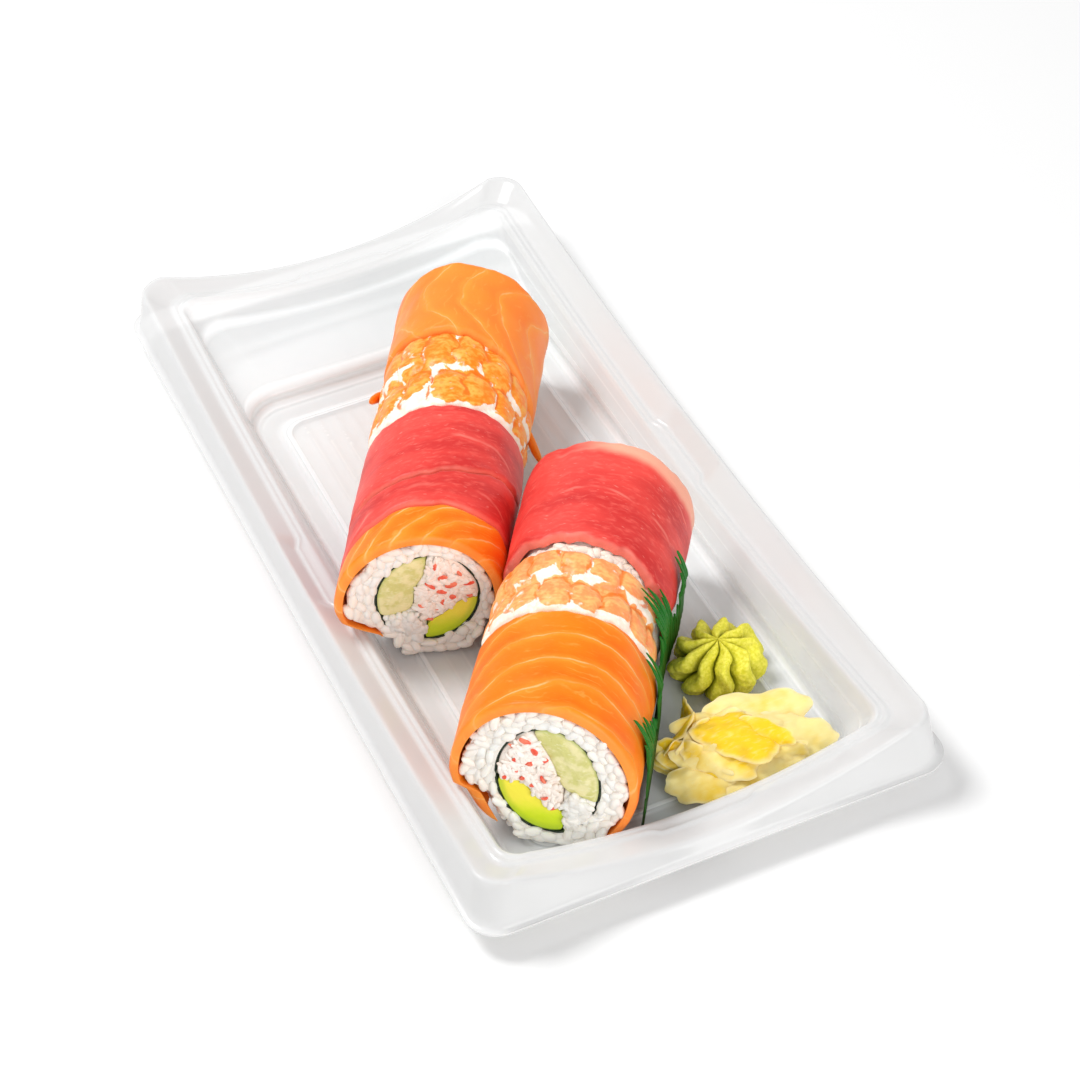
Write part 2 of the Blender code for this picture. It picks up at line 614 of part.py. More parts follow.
def build_slice(cut, collection):
    """A slice bent over the roll, between two edges along it and two ends down its sides."""
    roll = cut["roll"]
    kind = cut["kind"]
    steps = PRAWN_ALONG if kind == "prawn" else FISH_ALONG
    rows = len(steps) - 1
    start, end = math.radians(cut["right"]), math.radians(cut["left"])
    builder = bmesh.new()
    under = []
    over = []
    for column in range(SLICE_COLUMNS + 1):
        across = column / SLICE_COLUMNS
        angle = start + (end - start) * across
        front = edge_place(cut, "front", angle, 1)
        back = edge_place(cut, "back", angle, -1)
        taper = 0.0
        if kind == "prawn":
            taper = 0.30 * max(0.0, 1 - 7 * across) + 0.22 * max(0.0, 1 - 7 * (1 - across))
        low_line = []
        top_line = []
        for along in steps:
            y = front + (back - front) * (0.5 + (along - 0.5) * (1 - taper))
            thickness = slice_thickness(kind, along, across, roll["seed"])
            for line, offset in ((low_line, UNDER), (top_line, UNDER + thickness)):
                x, z = roll_section(roll, angle, offset, y)
                line.append(builder.verts.new((x, y, z)))
        under.append(low_line)
        over.append(top_line)
    for column in range(SLICE_COLUMNS):
        bridge_loops(builder, under[column + 1], under[column], closed=False)
        bridge_loops(builder, over[column], over[column + 1], closed=False)
        for row in (0, rows):
            builder.faces.new((under[column][row], under[column + 1][row], over[column + 1][row],
                               over[column][row]))
    for line_low, line_top in ((under[0], over[0]), (over[-1], under[-1])):
        bridge_loops(builder, line_low, line_top, closed=False)
    solid = add_object(cut["name"], builder, kind, collection)
    if cut["name"] == "prawn_left":
        add_tails(solid, collection)
    return place_on_roll(solid, roll)


# Garnishes

def build_paste(collection):
    """A piped rosette: lobed rings that turn as they rise, with raised tips round its top."""
    builder = bmesh.new()
    lobes = PASTE["lobes"]
    around = lobes * 4
    levels = [(0.0, 0.86, 0.10), (0.14, 1.0, 0.15), (0.34, 1.0, 0.20), (0.56, 0.86, 0.24), (0.80, 0.60, 0.26),
              (0.94, 0.34, 0.22), (1.0, 0.12, 0.10)]
    loops = []
    for level, spread, depth in levels:
        loop = []
        for step in range(around):
            angle = math.tau * step / around
            lobe = math.cos(lobes * angle)
            uneven = 1 + 0.03 * math.sin(2 * angle + 1) + 0.02 * math.sin(3 * angle)
            radius = PASTE["radius"] * spread * uneven * (1 - depth + depth * lobe)
            turned = angle + 0.5 * level
            tip = 0.10 * PASTE["height"] * max(0.0, lobe) if 0.3 < level < 0.9 else 0.0
            z = PASTE["height"] * level + tip
            loop.append(builder.verts.new((radius * math.cos(turned), radius * math.sin(turned), z)))
        loops.append(loop)
    for lower, upper in zip(loops, loops[1:]):
        bridge_loops(builder, lower, upper)
    builder.faces.new(list(reversed(loops[0])))
    builder.faces.new(loops[-1])
    paste = add_object("green_paste", builder, "green_paste", collection)
    paste.location = (PASTE["x"], PASTE["y"], FOOD_Z)
    return paste


def close_rim(builder, grid, columns, rows):
    """Join the two faces of a thin sheet round its rim."""
    rim = [(column, 0) for column in range(columns)]
    rim += [(columns, row) for row in range(rows)]
    rim += [(column, rows) for column in range(columns, 0, -1)]
    rim += [(0, row) for row in range(rows, 0, -1)]
    for index, place in enumerate(rim):
        after = rim[(index + 1) % len(rim)]
        builder.faces.new((grid[(0, *place)], grid[(0, *after)], grid[(1, *after)], grid[(1, *place)]))


def fill_sheet(builder, grid, columns, rows):
    """Both faces of a thin sheet, split into triangles the same way."""
    for column in range(columns):
        for row in range(rows):
            for side in (0, 1):
                corner = [grid[side, column, row], grid[side, column + 1, row],
                          grid[side, column + 1, row + 1], grid[side, column, row + 1]]
                for triangle in ((corner[0], corner[1], corner[2]), (corner[0], corner[2], corner[3])):
                    builder.faces.new(triangle if side else tuple(reversed(triangle)))
    close_rim(builder, grid, columns, rows)


def ginger_slice(name, spec, collection):
    """A thin oval slice spanned by two half axes, domed and ruffled towards its rim."""
    columns, rows = 10, 4
    builder = bmesh.new()
    along, across = Vector(spec["along"]), Vector(spec["across"])
    normal = along.cross(across).normalized()
    if normal.z < 0:
        normal.negate()
    grid = {}
    for column in range(columns + 1):
        for row in range(rows + 1):
            u = 2 * column / columns - 1
            v = 2 * row / rows - 1
            disc_u = u * math.sqrt(1 - 0.5 * v * v)
            disc_v = v * math.sqrt(1 - 0.5 * u * u)
            radial = disc_u * disc_u + disc_v * disc_v
            round_way = math.atan2(disc_v, disc_u)
            height = spec["dome"] * (1 - radial) + spec["ruffle"] * radial * math.sin(5 * round_way + 1)
            for side in (0, 1):
                point = Vector(spec["at"]) + along * disc_u + across * disc_v
                point += normal * (height + (side - 0.5) * GINGER_SHEET)
                grid[side, column, row] = builder.verts.new(point * MM)
    fill_sheet(builder, grid, columns, rows)
    return add_object(name, builder, "ginger", collection)


def build_ginger(collection):
    """A low mound with folded slices of pickled ginger fused on it."""
    builder = bmesh.new()
    bmesh.ops.create_uvsphere(builder, u_segments=16, v_segments=8, radius=1.0)
    for vert in builder.verts:
        uneven = 1 + 0.06 * math.sin(3 * math.atan2(vert.co.y, vert.co.x) + 1)
        vert.co.x = GINGER["x"] + vert.co.x * 14 * MM * uneven
        vert.co.y = GINGER["y"] + vert.co.y * 9.5 * MM * uneven
        vert.co.z = FOOD_Z + max(0.0, (vert.co.z + 0.35) * 6.0 * MM)
    mound = add_object("ginger", builder, "ginger", collection)

    def slices(pieces):
        for index, spec in enumerate(GINGER_SLICES):
            ginger_slice(f"slice_{index}", spec, pieces)

    return fuse_collection(mound, "ginger_slices", slices)


def leaf_side(roll, place, z):
    """How far to the right the leaf stands at a height: upright below, leaning on the roll above."""
    shift, half_width, taller = (between(roll["stations"], place, column) * MM for column in (1, 2, 3))
    out = UNDER + FISH + (0.5 * MM if z < roll["half_height"] else 1.2 * MM)
    centre = roll["half_height"] - roll["sink"]
    if z < centre:
        return shift + half_width + out - 1.6 * MM * (1 - z / centre) ** 2
    lift = (z - centre) / (roll["half_height"] + taller + out)
    return shift + (half_width + out) * math.sqrt(max(0.04, 1 - lift * lift))


def build_leaf(collection):
    """The divider: a thin sheet with pointed blades that leans on the right row."""
    roll = RIGHT_ROLL
    columns = len(LEAF_EDGE) - 1
    builder = bmesh.new()
    grid = {}
    for column, (place, top) in enumerate(LEAF_EDGE):
        foot = between(LEAF_FOOT, place, 1)
        for row in range(LEAF_ROWS + 1):
            share = row / LEAF_ROWS
            z = (foot + (top - foot) * share) * MM - FOOD_Z
            x = leaf_side(roll, place, z) + 0.1 * MM * (1 + math.sin(1.7 * column))
            y = place * MM
            for side in (0, 1):
                grid[side, column, row] = builder.verts.new((x + side * LEAF_SHEET, y, max(z, 0.0)))
    fill_sheet(builder, grid, columns, LEAF_ROWS)
    leaf = add_object("divider_leaf", builder, "leaf", collection)
    return place_on_roll(leaf, roll)


def main():
    clear_scene()
    parts = make_collection("takeaway_sushi_tray")
    build_tray(parts)
    for roll in (LEFT_ROLL, RIGHT_ROLL):
        build_rice(roll, parts)
        build_nori(roll, parts)
    for filling in FILLINGS:
        build_filling(filling, parts)
    for cut in SLICES:
        build_slice(cut, parts)
    build_paste(parts)
    build_ginger(parts)
    build_leaf(parts)


main()
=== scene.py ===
import math
import random

import bmesh
import bpy
import numpy as np
from mathutils import Matrix, Vector, noise


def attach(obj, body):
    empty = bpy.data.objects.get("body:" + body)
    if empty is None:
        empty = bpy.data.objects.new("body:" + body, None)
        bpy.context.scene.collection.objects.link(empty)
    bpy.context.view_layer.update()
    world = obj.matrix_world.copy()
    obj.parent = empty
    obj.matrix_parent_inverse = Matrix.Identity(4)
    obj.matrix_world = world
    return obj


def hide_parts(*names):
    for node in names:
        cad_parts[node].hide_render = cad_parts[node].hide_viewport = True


# Takeaway sushi tray: each CAD node is replaced by a finer piece of the same form.
# Lengths here are in mm and become metres when a mesh is made.

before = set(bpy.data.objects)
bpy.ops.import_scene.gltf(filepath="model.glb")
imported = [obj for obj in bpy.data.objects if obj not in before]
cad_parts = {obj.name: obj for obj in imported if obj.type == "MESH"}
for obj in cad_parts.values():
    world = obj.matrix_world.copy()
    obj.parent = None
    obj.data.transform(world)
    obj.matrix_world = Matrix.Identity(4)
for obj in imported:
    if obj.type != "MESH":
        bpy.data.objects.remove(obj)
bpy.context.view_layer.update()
mm = 0.001
print("frame loaded:", len(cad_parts), "nodes")

gap = 0.3          # kept between touching pieces
underSlice = 0.5   # between the rice and a slice bent over it
fishThick = 2.6
noriThick = 0.5
foodZ = 1.6        # the food stands on the tray's floor panel


# Numbers and shapes

def smooth(low, high, value):
    share = np.clip((value - low) / (high - low), 0.0, 1.0)
    return share * share * (3 - 2 * share)


def bell(value, width):
    return np.exp(-(value / width) ** 2)


def roughness(points, size, seed=0.0):  # smooth noise in -1..1 at each point
    shift = Vector((seed * 7.3, seed * 3.1, seed * 5.7))
    flat = np.asarray(points).reshape(-1, 3) / size
    values = [noise.noise(Vector(point) + shift) for point in flat]
    return np.array(values).reshape(np.asarray(points).shape[:-1])


def cells(points, size, seed=0.0):  # distance to the nearest cell's middle, 0 at its middle
    shift = Vector((seed * 7.3, seed * 3.1, seed * 5.7))
    flat = np.asarray(points).reshape(-1, 3) / size
    values = [noise.voronoi(Vector(point) + shift)[0][0] for point in flat]
    return np.array(values).reshape(np.asarray(points).shape[:-1])


def gridFaces(rows, columns, wrapColumns=False, wrapRows=False):
    index = np.arange(rows * columns).reshape(rows, columns)
    if wrapColumns:
        index = np.concatenate([index, index[:, :1]], axis=1)
    if wrapRows:
        index = np.concatenate([index, index[:1]], axis=0)
    return np.stack([index[:-1, :-1], index[:-1, 1:], index[1:, 1:], index[1:, :-1]], -1).reshape(-1, 4)


def pointNormals(points, faces):
    mesh = bpy.data.meshes.new("probe")
    mesh.from_pydata(points.tolist(), [], faces.tolist())
    normals = np.zeros(len(points) * 3)
    mesh.vertices.foreach_get("normal", normals)
    bpy.data.meshes.remove(mesh)
    normals = normals.reshape(-1, 3)
    corner = points[faces]
    middle = corner.mean(axis=1)
    facing = np.cross(corner[:, 2] - corner[:, 0], corner[:, 3] - corner[:, 1])
    volume = (facing * middle).sum()
    return normals if volume > 0 else -normals


# Collects closed bodies of points and faces, with two vectors of marks a point for the shader
class Shape:
    def __init__(self):
        self.points, self.faces, self.place, self.tint = [], [], [], []
        self.count = 0

    def add(self, points, faces, place=(0, 0, 0), tint=(0, 0, 0)):
        points = np.asarray(points, float).reshape(-1, 3)
        self.points.append(points)
        self.faces.extend((np.asarray(faces) + self.count).tolist())
        self.place.append(np.broadcast_to(np.asarray(place, float), points.shape))
        self.tint.append(np.broadcast_to(np.asarray(tint, float), points.shape))
        self.count += len(points)

    # A thin closed sheet from the grids of its upper and under faces
    def sheet(self, over, under, place, tint=(0, 0, 0)):
        rows, columns = over.shape[:2]
        index = np.arange(rows * columns).reshape(rows, columns)
        rim = np.concatenate([index[0, :-1], index[:-1, -1], index[-1, :0:-1], index[:0:-1, 0]])
        after = np.roll(rim, -1)
        total = rows * columns
        faces = gridFaces(rows, columns)
        sides = np.stack([rim, rim + total, after + total, after], -1)
        marks = []
        for value in (place, tint):
            upper = np.broadcast_to(np.asarray(value, float), over.shape).reshape(-1, 3)
            marks.append(np.concatenate([upper, upper]))
        self.add(np.concatenate([over.reshape(-1, 3), under.reshape(-1, 3)]),
                 np.concatenate([faces, faces[:, ::-1] + total, sides]), *marks)


mergeDistance = 0.002
sharpAngle = 70


def makePiece(name, shape, node, finish):
    mesh = bpy.data.meshes.new(name)
    mesh.from_pydata((np.concatenate(shape.points) * mm).tolist(), [], shape.faces)
    for label, marks in (("place", shape.place), ("tint", shape.tint)):
        layer = mesh.attributes.new(label, "FLOAT_VECTOR", "POINT")
        layer.data.foreach_set("vector", np.concatenate(marks).ravel())
    build = bmesh.new()
    build.from_mesh(mesh)
    bmesh.ops.remove_doubles(build, verts=build.verts, dist=mergeDistance * mm)
    bmesh.ops.recalc_face_normals(build, faces=build.faces)
    build.to_mesh(mesh)
    build.free()
    mesh.shade_smooth()
    mesh.set_sharp_from_angle(angle=math.radians(sharpAngle))
    piece = bpy.data.objects.new(name, mesh)
    bpy.context.scene.collection.objects.link(piece)
    piece.data.materials.append(finish)
    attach(piece, "root")
    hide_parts(node)
    print("made", name, len(mesh.polygons), "faces")


# One long rounded body: a rice grain, a shred of crab or a chip of its red skin
blobAround, blobLong = 10, 7
blobTurn = np.linspace(0, math.tau, blobAround, endpoint=False)
blobRise = np.linspace(-math.pi / 2, math.pi / 2, blobLong + 1)[:, None]
blobGirth = np.cos(blobRise) ** 0.8  # fuller towards its ends than an ellipse
blobGrid = np.stack([blobGirth * np.cos(blobTurn), blobGirth * np.sin(blobTurn),
                     np.repeat(np.sin(blobRise), blobAround, 1)], -1).reshape(-1, 3)
blobFaces = gridFaces(blobLong + 1, blobAround, wrapColumns=True)


def addBlob(shape, centre, direction, normal, size, bend=0.0, place=(0, 0, 0), tint=(0, 0, 0)):
    along = np.asarray(direction, float) / np.linalg.norm(direction)
    up = np.asarray(normal, float) - along * np.dot(normal, along)
    up /= np.linalg.norm(up)
    side = np.cross(up, along)
    local = blobGrid * (np.array(size)[[1, 2, 0]] * 0.5)
    local = local + np.stack([bend * (blobGrid[:, 2] ** 2 - 0.4), 0 * blobGrid[:, 0], 0 * blobGrid[:, 0]], -1)
    points = np.asarray(centre) + local[:, :1] * side + local[:, 1:2] * up + local[:, 2:] * along
    shape.add(points, blobFaces, place, tint)


# Shader maths

# Wraps a socket: sums, products and functions of it become Math nodes
class Wire:
    def __init__(self, finish, socket):
        self.finish, self.socket = finish, socket

    def maths(self, operation, *values):
        return self.finish.node("ShaderNodeMath", {"operation": operation}, dict(enumerate(values)))

    def __add__(self, other): return self.maths("ADD", self, other)
    def __radd__(self, other): return self.maths("ADD", other, self)
    def __sub__(self, other): return self.maths("SUBTRACT", self, other)
    def __rsub__(self, other): return self.maths("SUBTRACT", other, self)
    def __mul__(self, other): return self.maths("MULTIPLY", self, other)
    def __rmul__(self, other): return self.maths("MULTIPLY", other, self)
    def __truediv__(self, other): return self.maths("DIVIDE", self, other)
    def __pow__(self, other): return self.maths("POWER", self, other)
    def __abs__(self): return self.maths("ABSOLUTE", self)
    def fraction(self): return self.maths("FRACT", self)

    def step(self, low, high):  # 0 at low, 1 at high, smooth between
        return self.finish.node("ShaderNodeMapRange", {"interpolation_type": "SMOOTHSTEP"},
                                {"Value": self, "From Min": low, "From Max": high})


class Finish:
    def __init__(self, name, roughness=0.5, specular=0.5, scatter=0.0, scatterSize=0.003,
                 scatterReach=(1.0, 0.5, 0.3), ior=1.45):
        self.material = bpy.data.materials.new(name)
        self.material.use_nodes = True
        self.tree = self.material.node_tree
        self.shader = self.tree.nodes["Principled BSDF"]
        constants = {"Roughness": roughness, "Specular IOR Level": specular, "Subsurface Weight": scatter,
                     "Subsurface Scale": scatterSize, "Subsurface Radius": scatterReach, "IOR": ior}
        for label, value in constants.items():
            self.shader.inputs[label].default_value = value

    def feed(self, socket, value):
        if isinstance(value, Wire):
            self.tree.links.new(value.socket, socket)
        elif isinstance(value, tuple) and len(value) == 3 and socket.type == "RGBA":
            socket.default_value = (*value, 1.0)
        else:
            socket.default_value = value

    def node(self, kind, settings=None, values=None, output=0):
        node = self.tree.nodes.new(kind)
        for label, value in (settings or {}).items():
            setattr(node, label, value)
        for label, value in (values or {}).items():
            self.feed(node.inputs[label], value)
        return Wire(self, node.outputs[output])

    def mark(self, label, axis=None):  # a mark of the mesh: the vector, or one of its numbers
        vector = self.node("ShaderNodeAttribute", {"attribute_name": label}, output="Vector")
        if axis is None:
            return vector
        return self.node("ShaderNodeSeparateXYZ", None, {0: vector}, output="XYZ".index(axis))

    def point(self):
        return self.node("ShaderNodeTexCoord", output="Object")

    def stretch(self, vector, scale):
        return self.node("ShaderNodeVectorMath", {"operation": "MULTIPLY"}, {0: vector, 1: scale})

    def grain(self, size, detail, vector=None, stretch=None):  # noise, size in mm
        scale = 1.0 / size if vector else 1000.0 / size
        vector = vector or self.point()
        if stretch:
            vector = self.stretch(vector, stretch)
        return self.node("ShaderNodeTexNoise", None, {"Vector": vector, "Scale": scale, "Detail": detail})

    def mix(self, share, first, second):
        return self.node("ShaderNodeMix", {"data_type": "RGBA"}, {0: share, 6: first, 7: second}, output=2)

    def bump(self, height, distance, strength):  # distance in mm
        values = {"Strength": strength, "Distance": distance * mm, "Height": height}
        return self.node("ShaderNodeBump", None, values)

    def done(self, color, roughness=None, normal=None, alpha=None):
        wires = {"Base Color": color, "Roughness": roughness, "Normal": normal, "Alpha": alpha}
        for label, value in wires.items():
            if value is not None:
                self.feed(self.shader.inputs[label], value)
        return self.material


# Camera, light and floor

# Places and the floor's half width in metres, angles in radians
camera = {"lens": 92.07, "sensor": 36.0, "at": (-0.2007, -0.5239, 0.5222),
          "down": 0.751, "turn": -0.384, "roll": -0.060}
studio = {"sky": 0.55, "key": 11.2, "keyAt": (-0.44, 0.46, 1.08), "keySize": 0.42,
          "fill": 8.6, "fillAt": (0.08, -1.20, 0.62), "fillSize": 0.8,
          "floor": (0.815, 0.815, 0.815), "floorReach": 3.0}


def aimedLight(name, at, size, power):
    light = bpy.data.lights.new(name, "AREA")
    light.size, light.energy = size, power
    lamp = bpy.data.objects.new(name, light)
    lamp.location = at
    lamp.rotation_euler = (-Vector(at)).to_track_quat("-Z", "Y").to_euler()
    bpy.context.scene.collection.objects.link(lamp)


def makeStudio():
    lens = bpy.data.cameras.new("photoView")
    lens.lens, lens.sensor_width = camera["lens"], camera["sensor"]
    view = bpy.data.objects.new("photoView", lens)
    turn = Matrix.Rotation(camera["turn"], 4, "Z") @ Matrix.Rotation(math.pi / 2 - camera["down"], 4, "X")
    view.matrix_world = Matrix.Translation(camera["at"]) @ turn @ Matrix.Rotation(camera["roll"], 4, "Z")
    bpy.context.scene.collection.objects.link(view)
    bpy.context.scene.camera = view
    bpy.context.scene.view_settings.view_transform = "Standard"

    world = bpy.data.worlds.new("softSky")
    world.use_nodes = True
    world.node_tree.nodes["Background"].inputs["Color"].default_value = (1.0, 1.0, 1.0, 1.0)
    world.node_tree.nodes["Background"].inputs["Strength"].default_value = studio["sky"]
    bpy.context.scene.world = world
    aimedLight("keyLight", studio["keyAt"], studio["keySize"], studio["key"])
    aimedLight("fillLight", studio["fillAt"], studio["fillSize"], studio["fill"])

    build = bmesh.new()
    bmesh.ops.create_grid(build, x_segments=2, y_segments=2, size=studio["floorReach"])
    mesh = bpy.data.meshes.new("floor")
    build.to_mesh(mesh)
    build.free()
    floor = bpy.data.objects.new("floor", mesh)
    bpy.context.scene.collection.objects.link(floor)
    paper = Finish("floorPaper", roughness=0.9)
    floor.data.materials.append(paper.done(color=studio["floor"]))
    print("studio ready")


makeStudio()


# Clear tray

# A height of three numbers is at the corners, and at the middle of the long and of the short sides
tray = {
    "halfWidth": 65, "halfLength": 134, "sheet": 0.6,
    "flat": (7.8, 7.8, 7.8), "crest": (21.5, 15.1, 11.1), "ridge": (17.0, 9.8, 10.2),
    "notchHalf": 12.0, "notchRamp": 2.5, "notchShift": 1.6,
    "panel": (38.2, 108.2, 72.2), "panelRadius": 5.6, "panelZ": 1.3, "panelRings": 34,
    "ribStep": 4.7, "ribHeight": 0.26, "ribFadeRings": 3.0,
    "ringStep": 1.2, "longPoints": 141, "shortPoints": 57, "cornerPoints": 17,
    "alpha": 0.28, "edgeAlpha": 0.34, "rimAlpha": 0.27, "glanceAlpha": 0.20, "rimBand": (12.5, 17.0),
}


def trayRing(x, front, back, radius, z, notch=0.0):
    cornerZ, longZ, shortZ = z
    middle = 0.5 * (back - front)
    runY, runX = 0.5 * (back + front) - radius, x - radius
    corner = np.radians(np.linspace(0, 90, tray["cornerPoints"]))[1:-1]
    notchEnd = tray["notchHalf"] + tray["notchRamp"]

    def side(count, run, sag, place):
        share = np.linspace(-1, 1, count)
        bump = notch * (1 - smooth(tray["notchHalf"], notchEnd, abs(share) * run))
        return place(share * run, bump) + (sag + (cornerZ - sag) * share ** 2,)

    def bend(centreX, centreY, start):
        angle = corner + math.radians(start)
        return (centreX + radius * np.cos(angle), centreY + radius * np.sin(angle),
                np.full(len(angle), cornerZ))

    long, short = tray["longPoints"], tray["shortPoints"]
    runs = [
        side(long, runY, longZ, lambda s, b: (x + b, middle + s)), bend(runX, back - radius, 0),
        side(short, runX, shortZ, lambda s, b: (-s, back + b)), bend(-runX, back - radius, 90),
        side(long, runY, longZ, lambda s, b: (-x - b, middle - s)), bend(-runX, radius - front, 180),
        side(short, runX, shortZ, lambda s, b: (s, -front - b)), bend(runX, radius - front, 270),
    ]
    return np.concatenate([np.stack(run, -1) for run in runs])


def trayRings():
    def even(inset, radius, z, lift=0.0, notch=0.0):
        width, length = tray["halfWidth"] - inset, tray["halfLength"] - inset
        return trayRing(width, length, length, radius, tuple(height + lift for height in z), notch)

    flat, crest, ridge, shift = tray["flat"], tray["crest"], tray["ridge"], tray["notchShift"]
    return [
        even(0.0, 8.6, flat), even(1.6, 8.0, flat), even(3.5, 7.8, crest, -0.5), even(4.3, 7.6, crest),
        even(10.6, 6.4, ridge, 0, shift), even(11.4, 6.2, ridge, 0.8, shift),
        even(12.2, 6.0, ridge, 0, shift), even(13.1, 5.8, ridge, 0.7), even(14.0, 5.6, ridge, -0.2),
        trayRing(49.3, 118.6, 113.0, 8.0, (11.2, 7.5, 7.3)), trayRing(47.4, 117.0, 84.0, 11.0, (4.9,) * 3),
        trayRing(46.4, 115.8, 82.0, 10.0, (0.6,) * 3), trayRing(39.0, 109.0, 73.0, 6.0, (0.6,) * 3),
        trayRing(*tray["panel"], tray["panelRadius"], (tray["panelZ"],) * 3),
    ]


def makeTray():
    coarse = trayRings()
    rows = [coarse[0]]
    for outer, inner in zip(coarse, coarse[1:]):
        steps = max(2, round(np.linalg.norm(inner - outer, axis=1).mean() / tray["ringStep"]))
        rows += [outer + (inner - outer) * step / steps for step in range(1, steps + 1)]
    rows = np.array(rows)
    rows[1:-1] = 0.25 * rows[:-2] + 0.5 * rows[1:-1] + 0.25 * rows[2:]
    panel = []
    for step in range(1, tray["panelRings"] + 1):
        share = 1 - step / (tray["panelRings"] + 0.2)
        sides = np.array(tray["panel"]) - tray["panel"][0] * (1 - share)
        panel.append(trayRing(*sides, tray["panelRadius"] * share, (tray["panelZ"],) * 3))
    panel = np.array(panel)
    depth = np.minimum(np.arange(1, len(panel) + 1) / tray["ribFadeRings"], 1.0)[:, None]
    wave = (0.5 + 0.5 * np.cos(math.tau * panel[..., 0] / tray["ribStep"])) ** 3
    panel[..., 2] += tray["ribHeight"] * wave * depth
    over = np.concatenate([rows, panel])
    count, around = over.shape[:2]

    faces = gridFaces(count, around, wrapColumns=True)
    normals = pointNormals(over.reshape(-1, 3), faces).reshape(over.shape)
    normals *= np.sign(normals[..., 2:].sum())
    under = over - normals * tray["sheet"]
    turn = np.zeros((count, around))
    turn[1:-1] = np.linalg.norm(over[2:] - 2 * over[1:-1] + over[:-2], axis=-1)
    turn[len(rows):] *= 0.5
    turn[0] = 0.6
    inset = np.minimum(tray["halfWidth"] - abs(over[..., 0]), tray["halfLength"] - abs(over[..., 1]))
    # how sharply the sheet bends, and 1 on the rim down to 0 inside (it sets the rim's opacity and its
    # painted grey shade)
    marks = np.stack([turn, 0 * turn, 1 - smooth(*tray["rimBand"], inset)], -1).reshape(-1, 3)
    total = count * around
    ring = np.arange(around)
    after = np.roll(ring, -1)
    last = ring + (count - 1) * around
    lastAfter = after + (count - 1) * around
    shape = Shape()
    shape.add(np.concatenate([over.reshape(-1, 3), under.reshape(-1, 3)]),
              np.concatenate([faces, faces[:, ::-1] + total,
                              np.stack([ring, after, after + total, ring + total], -1),
                              np.stack([last, last + total, lastAfter + total, lastAfter], -1)]),
              np.concatenate([marks, marks]))

    plastic = Finish("clearPlastic", ior=1.46, specular=0.6)
    bend = plastic.mark("place", "X").step(0.12, 0.5)
    facing = plastic.node("ShaderNodeLayerWeight", None, {"Blend": 0.35}, output="Facing")
    film = plastic.grain(22, 2).step(0.35, 0.7)
    rim = plastic.mark("place", "Z")
    clear = plastic.mix(film, (0.94, 0.965, 0.975), (0.96, 0.98, 0.985))
    cover = tray["alpha"] + tray["rimAlpha"] * rim + tray["edgeAlpha"] * (1 - rim) * bend
    # The rim band is painted a darker grey than the pale inner film: painted shade for the rim's grey,
    # grazing edge
    plastic.done(color=plastic.mix(rim, clear, (0.82, 0.82, 0.82)),
                 roughness=0.10 + 0.08 * film,
                 alpha=cover + tray["glanceAlpha"] * facing ** 2.0,
                 normal=plastic.bump(plastic.grain(30, 1), 0.6, 0.25))
    makePiece("trayShell", shape, "tray", plastic.material)


makeTray()


# Rolls

leftRoll = {
    "name": "left", "x": -18.6, "heading": 30.6, "front": -37.6, "back": 77.0,
    "halfHeight": 20.2, "sink": 2.2, "footShift": 1.6, "lean": 0.02, "skew": 0.25,
    "places": (-45, -10, 30, 78), "shift": (0.6, 0.2, 0.1, 0.4),
    "halfWidth": (18.9, 19.1, 18.8, 19.2), "taller": (0.2, 0.0, -0.3, 0.7),
    "coreWidth": 13.8, "coreHeight": 15.2, "coreShift": 2.7, "coreLift": 1.1, "seed": 3,
}
rightRoll = {
    "name": "right", "x": 37.4, "heading": 34.0, "front": -127.0, "back": -27.5,
    "halfHeight": 21.4, "sink": 2.4, "footShift": 0.6, "lean": 0.14, "skew": -0.05,
    "places": (-130, -94, -86, -68, -60, -25), "shift": (-0.8, -0.8, -1.3, -1.2, 0.0, 0.5),
    "halfWidth": (20.9, 20.2, 19.4, 19.2, 20.0, 20.6), "taller": (0.2, 0.0, 0.0, -0.2, 0.0, 0.4),
    "coreWidth": 13.6, "coreHeight": 16.5, "coreShift": 0.2, "coreLift": 0.3, "seed": 8,
}


# The tray's inner wall has four slopes, each with the half width at its foot and what it adds going up.
# The tops of the ledge and of the side rise towards the tray's ends.
wall = {"foot": (46.1, 0.25), "footTop": 4.9, "ledge": (47.3, 1.8), "ledgeTop": (7.5, 3.7),
        "side": (49.1, 1.5), "sideTop": (10.8, 7.2), "above": (50.6, 1.7), "endAt": 118}


def wallHalfWidth(height, y):
    rise = (y / wall["endAt"]) ** 2
    foot = wall["footTop"]
    low, high = (start + more * rise for start, more in (wall["ledgeTop"], wall["sideTop"]))
    shares = (height, (height - foot) / (low - foot), (height - low) / (high - low), height - high)
    widths = [wall[key][0] + wall[key][1] * share
              for key, share in zip(("foot", "ledge", "side", "above"), shares)]
    return np.select([height < foot, height < low, height < high], widths[:3], widths[3])


def sectionSizes(roll, y):  # sideways shift, half width and extra height at a place along the roll
    return [np.interp(y, roll["places"], roll[key]) for key in ("shift", "halfWidth", "taller")]


def sectionCentre(roll):
    return roll["halfHeight"] - roll["sink"]


def coreCentre(roll):
    return sectionCentre(roll) + roll["coreLift"]


